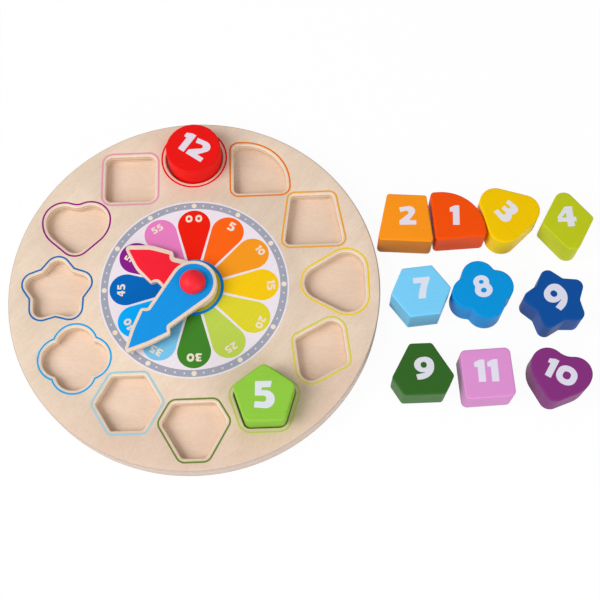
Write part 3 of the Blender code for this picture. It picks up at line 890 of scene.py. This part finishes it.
class BoardSizes(bpy.types.PropertyGroup):
    rim_round: length("Rim rounding", "Radius of the board's upper and lower outer edges", 1.2)
    seam_round: length("Seam rounding", "Radius of the edges where the two layers meet", 0.4)
    pocket_chamfer: length("Pocket chamfer", "Width of the bevel round each pocket", 0.9)
    line_offset: length("Line distance", "From a pocket's wall to the middle of its printed line", 3.0)
    line_width: length("Line width", "Width of the printed line round each pocket", 1.35)


class DialSizes(bpy.types.PropertyGroup):
    outer_radius: length("Dial radius", "Outer edge of the white ground", 71.5)
    dot_radius: length("Dot circle", "Radius of the circle through the dots", 67.67)
    ring_width: length("Grey ring width", "Width of the grey ring that carries the dots", 5.3)
    hour_dot: length("Hour dot", "Diameter of the twelve large dots", 3.9)
    minute_dot: length("Minute dot", "Diameter of the small dots", 1.35)
    petal_middle: length("Petal middle", "Where a petal is widest, from the dial's middle", 51.2)
    petal_half_width: length("Petal half width", "Radius of a petal's round end", 12.5)
    petal_neck: length("Petal neck", "Half width of a petal's inner end", 4.7)
    middle_radius: length("Middle radius", "Radius of the olive disc under the hands", 20.1)
    middle_line: length("Middle line", "Width of the blue line round the olive disc", 2.35)
    number_size: factor("Number size", "Height of the minute numbers, as a share of that drawn", 1.0, 0.1, 1.2)
    number_thinning: length("Number thinning", "How far the minute numbers' strokes are drawn in", 0.06)


class HandSizes(bpy.types.PropertyGroup):
    edge_round: length("Edge rounding", "Radius of the hands' edges", 0.5)
    minute_border: length("Minute border", "Bare wood round the minute hand's paint", 2.6)
    hour_border: length("Hour border", "Bare wood round the hour hand's paint", 2.95)
    hour_aside: length("Hour print aside", "How far the hour hand's paint lies off to its left", 1.0)


class BlockSizes(bpy.types.PropertyGroup):
    edge_round: length("Edge rounding", "Radius of the blocks' edges", 1.2)
    number_size: factor("Number size", "Height of the blocks' numbers, as a share of that drawn", 1.0, 0.1, 1.2)
    number_thinness: factor("Number thinness", "How much of the block's paint shows through its number", 0.1)


class WoodColours(bpy.types.PropertyGroup):
    top_pale: colour("Top, pale", "Pale figure of the upper veneer", "#ECD8C4")
    top_dark: colour("Top, dark", "Dark figure of the upper veneer", "#E8D1BB")
    warm: colour("Warm patches", "Warm patches in the veneers", "#E8CCB6")
    # The rim colour is lighter than the face: partly the bare sanded wood, partly a painted highlight where the
    # bevels catch the light
    rim: colour("Sanded rim", "Freshly sanded wood of the pockets' bevels", "#F3E1D0")
    hand: colour("Hand wood", "Pale wood of the hands", "#F1DCCB")


class DialColours(bpy.types.PropertyGroup):
    ground: colour("Ground", "White ground of the dial", "#EEE4EC")
    ring: colour("Ring", "Grey ring that carries the dots", "#A1A4B4")
    dots: colour("Dots", "Dots and minute numbers", "#EFDFCC")
    middle: colour("Middle", "Disc under the hands", "#C0B818")
    middle_line: colour("Middle line", "Line round the middle disc", "#0688DC")


class PetalColours(bpy.types.PropertyGroup):
    __annotations__ = hour_colours(PETAL, "Petal for {minute} minutes")


class LineColours(bpy.types.PropertyGroup):
    __annotations__ = hour_colours(LINE, "Printed line round the {shape}")


class BlockColours(bpy.types.PropertyGroup):
    __annotations__ = hour_colours(PAINT, "Paint of the {shape}")
    numbers: colour("Numbers", "Print on the blocks", "#E6E6F3")
    minute_hand: colour("Minute hand", "Paint of the minute hand", "#1695E5")
    hour_hand: colour("Hour hand", "Paint of the hour hand", "#FB2438")
    knob: colour("Knob", "Paint of the knob", "#F52634")


class LightSettings(bpy.types.PropertyGroup):
    key_power: power("Key light", "Power of the large soft lamp at the upper left", 34.6)
    side_power: power("Side light", "Power of the low lamp at the front right", 9.0)
    front_power: power("Front light", "Power of the lamp above the front", 4.5)
    fill: factor("Fill light", "Strength of the even light from all round", 0.40, most=10.0)
    floor_glow: factor("Floor white", "How much of the seen floor is plain white", 0.95)


class SorterSettings(bpy.types.PropertyGroup):
    board: bpy.props.PointerProperty(type=BoardSizes, name="Board")
    dial: bpy.props.PointerProperty(type=DialSizes, name="Dial")
    hands: bpy.props.PointerProperty(type=HandSizes, name="Hands")
    blocks: bpy.props.PointerProperty(type=BlockSizes, name="Blocks")
    wood_colours: bpy.props.PointerProperty(type=WoodColours, name="Wood")
    dial_colours: bpy.props.PointerProperty(type=DialColours, name="Dial print")
    petal_colours: bpy.props.PointerProperty(type=PetalColours, name="Petals")
    line_colours: bpy.props.PointerProperty(type=LineColours, name="Pocket lines")
    block_colours: bpy.props.PointerProperty(type=BlockColours, name="Paint")
    light: bpy.props.PointerProperty(type=LightSettings, name="Light")


# ---------------------------------------------------------------- the pieces


def pocket_middle(hour):
    """Where a pocket's middle lies on the board."""
    return [part * RING_RADIUS for part in POCKET_PLACES[hour]]


def hour_colour(group, hour):
    """The colour that a group holds for an hour."""
    return tuple(getattr(group, f"hour_{hour}"))


def paint_sides(shape, index, rise, chosen=None):
    """Gives another of the piece's finishes to the faces whose normals rise less than a share: to all of them,
    or to those that a test of their middles picks."""
    for face in shape.faces:
        if abs(face.normal.z) < rise and (chosen is None or chosen(face.calc_center_median())):
            face.material_index = index


class CLOCKSORTER_OT_boards(bpy.types.Operator):
    """Build the two layers of the board"""

    bl_idname = "clock_sorter.boards"
    bl_label = "Boards"

    def execute(self, context):
        settings = context.scene.clock_sorter
        self.upper(settings.board, settings.wood_colours)
        self.lower(settings.board)
        return {"FINISHED"}

    def upper(self, sizes, woods):
        """The upper layer, with the pockets cut through."""
        levels = rounded_levels(BOARD_BOTTOM, BOARD_TOP, sizes.seam_round, sizes.rim_round)
        walls = [wall(one_disc(BOARD_RADIUS), levels)]
        chamfer = sizes.pocket_chamfer
        pocket_levels = (
            (BOARD_BOTTOM, 0.0),
            (BOARD_TOP - chamfer - WALL_SUPPORT, 0.0),
            (BOARD_TOP - chamfer, BEVEL_FOOT),
            *((BOARD_TOP - depth * chamfer, grow * chamfer) for depth, grow in BEVEL_ROUND),
            (BOARD_TOP, chamfer + BEVEL_LIP),
        )
        for hour, (_, make_discs) in SHAPES.items():
            walls.append(wall(make_discs, pocket_levels, pocket_middle(hour)))
        walls.append(wall(one_disc(HOLE_RADIUS), ((BOARD_BOTTOM, 0.0), (BOARD_TOP, 0.0))))
        shape = solid(walls)

        # Finishes, in the order of their index: face, pocket walls, bevels with their painted highlight and
        # outer wall
        bevel_bottom = BOARD_TOP - 0.5 * chamfer
        inside = BOARD_RADIUS - OUTER_BAND
        paint_sides(shape, 1, TOP_SIDE)
        # The upper half of each bevel gets the lighter rim finish: bare wood, and a painted highlight on the lip
        paint_sides(shape, 2, BEVEL_SIDE, lambda middle: middle.z > bevel_bottom and middle.xy.length < inside)
        paint_sides(shape, 3, TOP_SIDE, lambda middle: middle.xy.length > inside)
        face_colours = (woods.top_pale, woods.top_dark, woods.warm)
        rim_and_highlight_colours = (woods.rim, *linear_all(*RIM_VENEER))
        ply = (BOARD_TOP - BOARD_BOTTOM) / TOP_PLIES
        finishes = (
            birch_veneer("birch_veneer_top", face_colours, GRAIN_TOP, darker_at_six=True),
            ply_edge("birch_ply_edge_top", BOARD_BOTTOM, ply, linear_all(*TOP_EDGE)),
            birch_veneer("birch_sanded_rim", rim_and_highlight_colours, GRAIN_TOP),
            ply_edge("birch_ply_edge_outer", BOARD_BOTTOM, ply, linear_all(*OUTER_EDGE)),
        )
        add_piece("upper_board", shape, "board", finishes, ("top_board",))

    def lower(self, sizes):
        """The lower layer, with the blind hole for the dowel."""
        hole_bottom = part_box("hub_dowel")[0].z - SEAT_GAP
        levels = rounded_levels(0.0, BASE_TOP, sizes.rim_round, sizes.seam_round)
        profile = [
            (0.0, 0.0),
            *((BOARD_RADIUS + grow, height) for height, grow in levels),
            (HOLE_RADIUS, BASE_TOP),
            (HOLE_RADIUS, hole_bottom),
            (0.0, hole_bottom),
        ]
        shape = turned(profile, arc_steps(BOARD_RADIUS, math.tau))
        paint_sides(shape, 1, PLY_SIDE)
        finishes = (
            birch_veneer("birch_veneer_base", linear_all(*BASE_VENEER), GRAIN_BASE),
            ply_edge("birch_ply_edge_base", 0.0, BASE_PLY, linear_all(*BASE_EDGE)),
        )
        add_piece("lower_board", shape, "board", finishes, ("base_board",))


class CLOCKSORTER_OT_pocket_lines(bpy.types.Operator):
    """Print the coloured line round each pocket"""

    bl_idname = "clock_sorter.pocket_lines"
    bl_label = "Pocket lines"

    def execute(self, context):
        settings = context.scene.clock_sorter
        sizes = settings.board
        outer = sizes.line_offset + sizes.line_width / 2
        inner = sizes.line_offset - sizes.line_width / 2
        for hour, (shape_name, make_discs) in SHAPES.items():
            edges = [moved(outline(make_discs, grow), pocket_middle(hour)) for grow in (outer, inner)]
            shape = plate(edges, BOARD_TOP - INK_ROOT, BOARD_TOP + INK)
            ink_colour = hour_colour(settings.line_colours, hour)
            ink = screen_ink(f"screen_ink_line_{hour:02d}", ink_colour, GRAIN_TOP)
            add_piece(f"line_{hour:02d}_{shape_name}", shape, "board", (ink,))
        return {"FINISHED"}


def digit_discs(ring, start, width, height, inward):
    """One ring of a digit's outline, as a function of its growth. Start is where the digit's width begins."""

    def discs(grow):
        sized = []
        for x, y, radius in ring:
            size = at_least(radius * height + inward + grow, radius, LEAST_RADIUS / 2)
            sized.append(((x + start + width / 2) * height, y * height, size))
        return sized

    return discs


def number_outlines(text, height, widening=1.0, thinning=0.0, gap=DIGIT_GAP):
    """The outlines of a number of one or two digits, with its middle at the origin."""
    widths = [NUMBER_WIDTHS[digit] for digit in text]
    start = -(sum(widths) + gap * (len(text) - 1)) / 2
    outlines = []
    for digit, width in zip(text, widths):
        for index, ring in enumerate(NUMBER_SHAPES[digit]):
            inward = thinning if index else -thinning
            points = outline(digit_discs(ring, start, width, height, inward))
            outlines.append([(x * widening, y) for x, y in points])
        start += width + gap
    return outlines


def petal_discs(sizes):
    """The outline of the petal at twelve o'clock, from the line round the middle disc outwards."""
    side = sizes.petal_neck - PETAL_NECK_ROUND
    start = sizes.middle_radius + 0.5 * sizes.middle_line + PETAL_NECK_ROUND

    def discs(grow):
        return [
            (side, start, PETAL_NECK_ROUND + grow),
            (0.0, sizes.petal_middle, sizes.petal_half_width + grow),
            (-side, start, PETAL_NECK_ROUND + grow),
        ]

    return discs


def ring_outlines(outer, inner):
    """The two outlines of a ring round the dial's middle."""
    return [outline(one_disc(outer)), outline(one_disc(inner))]


class CLOCKSORTER_OT_dial(bpy.types.Operator):
    """Print the dial: ground, dotted ring, twelve petals, middle disc and minute numbers"""

    bl_idname = "clock_sorter.dial"
    bl_label = "Dial"

    def execute(self, context):
        settings = context.scene.clock_sorter
        sizes, colours = settings.dial, settings.dial_colours

        def add_print(name, outlines, layer, ink_colour):
            """Prints one colour, on top of as many layers as it has to cover."""
            shape = plate(outlines, BOARD_TOP - INK_ROOT, BOARD_TOP + layer * INK)
            ink = screen_ink("screen_ink_" + name, tuple(ink_colour), GRAIN_TOP)
            add_piece(name, shape, "board", (ink,))

        add_print("dial_ground", ring_outlines(sizes.outer_radius, HOLE_RADIUS), 1, colours.ground)
        half = sizes.ring_width / 2
        grey_ring = ring_outlines(sizes.dot_radius + half, sizes.dot_radius - half)
        add_print("dial_ring", grey_ring, 2, colours.ring)

        dots = []
        for minute in range(MINUTES):
            turn = math.tau * minute / MINUTES
            place = (sizes.dot_radius * math.sin(turn), sizes.dot_radius * math.cos(turn))
            diameter = sizes.minute_dot if minute % HOUR_MINUTES else sizes.hour_dot
            dots.append(moved(outline(one_disc(diameter / 2)), place))
        add_print("dial_dots", dots, 3, colours.dots)

        numbers = []
        for hour in SHAPES:
            turn = -360.0 * hour / HOURS
            petal = moved(outline(petal_discs(sizes)), turn=turn)
            minute = hour % HOURS * HOUR_MINUTES
            add_print(f"petal_{minute:02d}", [petal], 2, hour_colour(settings.petal_colours, hour))
            text, gap = (str(minute), DIGIT_GAP) if minute else ("00", ZEROS_GAP)
            reach, height, off, lean = MINUTE_NUMBERS[minute]
            around = math.radians(turn - off)
            place = (-reach * MM * math.sin(around), reach * MM * math.cos(around))
            height *= MM * sizes.number_size
            for points in number_outlines(text, height, thinning=sizes.number_thinning, gap=gap):
                numbers.append(moved(points, place, turn + lean))
        add_print("minute_numbers", numbers, 3, colours.dots)

        add_print("dial_middle", ring_outlines(sizes.middle_radius, HOLE_RADIUS), 4, colours.middle)
        line = ring_outlines(sizes.middle_radius + sizes.middle_line, sizes.middle_radius)
        add_print("dial_middle_line", line, 4, colours.middle_line)
        return {"FINISHED"}


def cheek_middle(barb, tip, radius, bulge):
    """Middle of the wide disc that bows the side of the arrow's head between its barb and its tip."""
    along_x = tip[0] - barb[0]
    along_y = tip[1] - barb[1]
    inset = (radius - HAND_ROUND - bulge) / math.hypot(along_x, along_y)
    return (barb[0] + tip[0]) / 2 - along_y * inset, (barb[1] + tip[1]) / 2 + along_x * inset


def arrow_discs(reach_share, barb_share, neck_share, tip_round, cheek_radius, cheek_bulge):
    """The outline of a hand that points along +Y, as a function of its growth."""
    reach = DIAL_RADIUS * reach_share
    barb_place = HUB_RADIUS + (reach - HUB_RADIUS) * barb_share
    barb = (HAND_HALF_WIDTH - HAND_ROUND, barb_place)
    tip = (0.0, reach - tip_round)
    cheek = cheek_middle(barb, tip, cheek_radius, cheek_bulge)
    notch = (HAND_HALF_WIDTH * neck_share + NOTCH_ROUND, barb_place - HAND_ROUND - NOTCH_FLAT - NOTCH_ROUND)

    def discs(grow):
        notch_disc = (*notch, at_least(grow - NOTCH_ROUND, -1))
        barb_disc = (*barb, at_least(grow + HAND_ROUND, 1))
        half = [notch_disc, barb_disc, (*cheek, grow + cheek_radius)]
        mirrored = [(-x, y, radius) for x, y, radius in reversed(half)]
        return [(0.0, 0.0, HUB_RADIUS + grow), *half, (*tip, at_least(grow + tip_round, 1)), *mirrored]

    return discs


class CLOCKSORTER_OT_hands(bpy.types.Operator):
    """Build the two arrow hands and their painted faces"""

    bl_idname = "clock_sorter.hands"
    bl_label = "Hands"

    def execute(self, context):
        settings = context.scene.clock_sorter
        sizes, colours = settings.hands, settings.block_colours
        minute_print = (sizes.minute_border, 0.0, colours.minute_hand)
        hour_print = (sizes.hour_border, sizes.hour_aside, colours.hour_hand)
        self.hand("minute_hand", "minute_hand_blue", MINUTE_SHAPE, MINUTE_ANGLE, settings, minute_print)
        self.hand("hour_hand", "hour_hand_red", HOUR_SHAPE, HOUR_ANGLE, settings, hour_print)
        return {"FINISHED"}

    def hand(self, body, slot, proportions, angle, settings, face_print):
        """One hand with its painted face, whose print is its bare border, its way aside and its colour."""
        border, aside, paint_colour = face_print
        bottom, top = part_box(body)[0].z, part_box(body)[1].z
        make_discs = arrow_discs(**proportions)
        edge_round = settings.hands.edge_round
        levels = rounded_levels(bottom, top, edge_round, edge_round)
        hole = wall(one_disc(HOLE_RADIUS), ((bottom, 0.0), (top, 0.0)))
        shape = solid([wall(make_discs, levels, turn=angle), hole])
        paint_sides(shape, 1, PLY_SIDE)
        colours = (settings.wood_colours.hand, *linear_all(*HAND_VENEER))
        face = birch_veneer(f"birch_veneer_{body}", colours, angle + 90)
        ply = (top - bottom) / HAND_PLIES
        edge = ply_edge(f"birch_ply_edge_{body}", bottom, ply, linear_all(*HAND_EDGE))
        add_piece(f"{body}_wood", shape, body, (face, edge), (body,))

        painted = moved(outline(make_discs, -border), (-aside, 0.0))
        edges = [moved(painted, turn=angle), outline(one_disc(HOLE_RADIUS))]
        shape = plate(edges, top - INK_ROOT, top + 2 * INK)
        name = f"silk_enamel_{body}"
        enamel = thin_paint(name, tuple(paint_colour), angle + 90, roughness=0.42, depth=0.03)
        add_piece(f"{body}_paint", shape, body, (enamel,))


class CLOCKSORTER_OT_hub(bpy.types.Operator):
    """Build the dowel and the half-ball knob that hold the hands"""

    bl_idname = "clock_sorter.hub"
    bl_label = "Hub"

    def execute(self, context):
        low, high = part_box("hub_dowel")[0].z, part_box("hub_dowel")[1].z
        profile = (
            (0.0, low),
            (DOWEL_RADIUS - DOWEL_CHAMFER, low),
            (DOWEL_RADIUS, low + DOWEL_CHAMFER),
            (DOWEL_RADIUS, high - DOWEL_CHAMFER),
            (DOWEL_RADIUS - DOWEL_CHAMFER, high),
            (0.0, high),
        )
        wood = birch_veneer("turned_birch_dowel", linear_all(*DOWEL_VENEER), 90.0)
        shape = turned(profile, arc_steps(DOWEL_RADIUS, math.tau))
        add_piece("dowel", shape, "board", (wood,), ("hub_dowel",))

        bottom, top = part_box("hub_knob")[0].z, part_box("hub_knob")[1].z
        socket_top = bottom + (top - bottom) * KNOB_SOCKET_SHARE
        ball_bottom = bottom + KNOB_ROUND
        profile = [(0.0, socket_top), (HOLE_RADIUS, socket_top), (HOLE_RADIUS, bottom)]
        for step in range(ROUND_STEPS + 1):
            turn = math.pi / 2 * step / ROUND_STEPS
            radius = KNOB_RADIUS - KNOB_ROUND * (1 - math.sin(turn))
            profile.append((radius, bottom + KNOB_ROUND * (1 - math.cos(turn))))
        for step in range(1, KNOB_RISE_STEPS):
            rise = math.pi / 2 * step / KNOB_RISE_STEPS
            profile.append((KNOB_RADIUS * math.cos(rise), ball_bottom + (top - ball_bottom) * math.sin(rise)))
        profile.append((0.0, top))
        knob_colour = tuple(context.scene.clock_sorter.block_colours.knob)
        enamel = thin_paint("silk_enamel_knob", knob_colour, 20.0, roughness=0.45, depth=0.03, specular=0.2)
        add_piece("knob", turned(profile, KNOB_TURNS), "board", (enamel,), ("hub_knob",))
        return {"FINISHED"}


def block_place(hour, clearance):
    """Where a block stands and its turn in degrees: in its pocket, or on the table to the board's right."""
    if hour in LOOSE_PLACES:
        right, up, turn = LOOSE_PLACES[hour]
        return (BOARD_RADIUS + right * POCKET_SPAN, up * POCKET_SPAN), turn
    x, y = pocket_middle(hour)
    aside_x, aside_y = SEATED_ASIDE[hour]
    return (x + aside_x * clearance, y + aside_y * clearance), 0.0


class CLOCKSORTER_OT_blocks(bpy.types.Operator):
    """Build the twelve number blocks and print their numbers"""

    bl_idname = "clock_sorter.blocks"
    bl_label = "Blocks"

    def execute(self, context):
        settings = context.scene.clock_sorter
        sizes, colours = settings.blocks, settings.block_colours
        edge_round = sizes.edge_round
        for hour, (shape_name, make_discs) in SHAPES.items():
            node, body = f"block_{hour:02d}_{shape_name}", f"block_{hour:02d}"
            slot, painted_side_light = BLOCK_PAINTS_AND_SIDE_LIGHT[hour]
            bottom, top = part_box(node)[0].z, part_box(node)[1].z
            clearance = CIRCLE_CLEARANCE if hour == HOURS else BLOCK_CLEARANCE
            place, turn = block_place(hour, clearance)
            levels = rounded_levels(bottom, top, edge_round, edge_round)
            drawn_in = [(height, grow - clearance) for height, grow in levels]
            shape = solid([wall(make_discs, drawn_in, place, turn)])
            paint_sides(shape, 1, PAINT_SIDE)
            enamel = hour_colour(colours, hour)
            top_paint = thin_paint(f"water_enamel_{slot}", enamel, turn, place)
            # The sides' paint is the top's paint made lighter or darker by a share: painted light and shade
            side_paint = thin_paint(f"water_enamel_{slot}_sides", shaded(enamel, painted_side_light), turn, place)
            add_piece(f"painted_{node}", shape, body, (top_paint, side_paint), (node,))

            right, up, turn, height, widening = BLOCK_NUMBERS[hour]
            middle = (place[0] + right * MM, place[1] + up * MM)
            height *= MM * sizes.number_size
            edges = [moved(points, middle, turn) for points in number_outlines(str(hour), height, widening)]
            shape = plate(edges, top - INK_ROOT, top + INK)
            # The white print is thin enough for a little of the paint to show through
            pairs = zip(colours.numbers, enamel)
            shown = tuple(white + (under - white) * sizes.number_thinness for white, under in pairs)
            ink = screen_ink(f"screen_ink_number_{hour:02d}", shown, 0.0)
            add_piece(f"number_{hour:02d}", shape, body, (ink,))
        return {"FINISHED"}


# ---------------------------------------------------------------- stage


def place_thing(name, data, place, turn):
    """Puts an object with this data on the stage, in place of an earlier one of that name."""
    earlier = bpy.data.objects.get(name)
    if earlier is not None:
        bpy.data.objects.remove(earlier)
    thing = bpy.data.objects.new(name, data)
    thing.location = place
    thing.rotation_euler = [math.radians(angle) for angle in turn]
    bpy.context.scene.collection.objects.link(thing)
    return thing


class CLOCKSORTER_OT_stage(bpy.types.Operator):
    """Set up the floor, the light and the camera"""

    bl_idname = "clock_sorter.stage"
    bl_label = "Stage"

    def execute(self, context):
        scene = context.scene
        settings = scene.clock_sorter.light
        scene.view_settings.view_transform = "Standard"
        self.floor(settings.floor_glow)
        scene.world = self.studio(settings.fill)

        # Three large soft boxes: the key light high at the left, a low one at the front right that opens up the
        # blocks' sides, and a weak one high at the front
        for name, (width, place) in LAMPS.items():
            lamp = bpy.data.lights.new(f"{name}_light", "AREA")
            lamp.shape = "SQUARE"
            lamp.size = width
            lamp.energy = getattr(settings, f"{name}_power")
            aim = (Vector(LAMP_AIM) - Vector(place)).to_track_quat("-Z", "Y").to_euler()
            place_thing(f"{name}_light", lamp, place, [math.degrees(angle) for angle in aim])

        camera = bpy.data.cameras.new("camera")
        camera.lens = CAMERA_LENS
        camera.sensor_width = CAMERA_SENSOR
        camera.sensor_fit = "HORIZONTAL"
        camera.clip_start = 0.01
        scene.camera = place_thing("camera", camera, CAMERA_PLACE, CAMERA_TURN)
        return {"FINISHED"}

    def floor(self, glow_share):
        """White paper: the camera and reflections see it mostly as plain white, which keeps a faint shadow."""
        finish, tree, shader = new_finish("white_paper_floor", 0.9, 0.0)
        shader.inputs["Base Color"].default_value = (*linear("#FAFAFA"), 1.0)
        rays = add_node(tree, "ShaderNodeLightPath").outputs
        seen = rays["Is Camera Ray"]
        for operation, value in (
            ("MAXIMUM", rays["Is Glossy Ray"]),
            ("MAXIMUM", rays["Is Transmission Ray"]),
            ("MULTIPLY", glow_share),
        ):
            seen = add_node(tree, "ShaderNodeMath", {0: seen, 1: value}, operation=operation).outputs["Value"]
        glow = add_node(tree, "ShaderNodeEmission", {"Color": (*WHITE, 1.0), "Strength": 1.0})
        inputs = {0: seen, 1: shader.outputs["BSDF"], 2: glow.outputs["Emission"]}
        mix = add_node(tree, "ShaderNodeMixShader", inputs)
        tree.links.new(mix.outputs["Shader"], tree.nodes["Material Output"].inputs["Surface"])

        shape = bmesh.new()
        bmesh.ops.create_grid(shape, x_segments=1, y_segments=1, size=FLOOR_REACH)
        bmesh.ops.translate(shape, verts=shape.verts, vec=(0.0, 0.0, -FLOOR_DROP))
        mesh = bpy.data.meshes.new("floor")
        shape.to_mesh(mesh)
        shape.free()
        mesh.materials.append(finish)
        place_thing("floor", mesh, (0.0, 0.0, 0.0), (0.0, 0.0, 0.0))

    def studio(self, strength):
        """The world: even fill light, and plain white where the camera sees past the floor."""
        world = bpy.data.worlds.new("studio")
        world.use_nodes = True
        tree = world.node_tree
        fill = tree.nodes["Background"]
        fill.inputs["Color"].default_value = (*WHITE, 1.0)
        fill.inputs["Strength"].default_value = strength
        white = add_node(tree, "ShaderNodeBackground", {"Color": (*WHITE, 1.0), "Strength": 1.0})
        seen = add_node(tree, "ShaderNodeLightPath").outputs["Is Camera Ray"]
        inputs = {0: seen, 1: fill.outputs["Background"], 2: white.outputs["Background"]}
        mix = add_node(tree, "ShaderNodeMixShader", inputs)
        tree.links.new(mix.outputs["Shader"], tree.nodes["World Output"].inputs["Surface"])
        return world


STEPS = ("boards", "pocket_lines", "dial", "hands", "hub", "blocks", "stage")


class CLOCKSORTER_PT_panel(bpy.types.Panel):
    """Sizes, colours and building steps of the clock shape sorter"""

    bl_idname = "CLOCKSORTER_PT_panel"
    bl_label = "Clock shape sorter"
    bl_space_type = "VIEW_3D"
    bl_region_type = "UI"
    bl_category = "Clock sorter"

    def draw(self, context):
        settings = context.scene.clock_sorter
        for part in SorterSettings.__annotations__:
            group = getattr(settings, part)
            box = self.layout.box()
            box.label(text=part.replace("_", " ").capitalize())
            for name in type(group).__annotations__:
                box.prop(group, name)
        for step in STEPS:
            self.layout.operator(f"clock_sorter.{step}")


CLASSES = (
    BoardSizes,
    DialSizes,
    HandSizes,
    BlockSizes,
    WoodColours,
    DialColours,
    PetalColours,
    LineColours,
    BlockColours,
    LightSettings,
    SorterSettings,
    CLOCKSORTER_OT_boards,
    CLOCKSORTER_OT_pocket_lines,
    CLOCKSORTER_OT_dial,
    CLOCKSORTER_OT_hands,
    CLOCKSORTER_OT_hub,
    CLOCKSORTER_OT_blocks,
    CLOCKSORTER_OT_stage,
    CLOCKSORTER_PT_panel,
)


def register():
    for kind in CLASSES:
        bpy.utils.register_class(kind)
    bpy.types.Scene.clock_sorter = bpy.props.PointerProperty(type=SorterSettings)


def unregister():
    del bpy.types.Scene.clock_sorter
    for kind in reversed(CLASSES):
        bpy.utils.unregister_class(kind)


def main():
    register()
    for step in STEPS:
        getattr(bpy.ops.clock_sorter, step)()


if __name__ == "__main__":
    main()
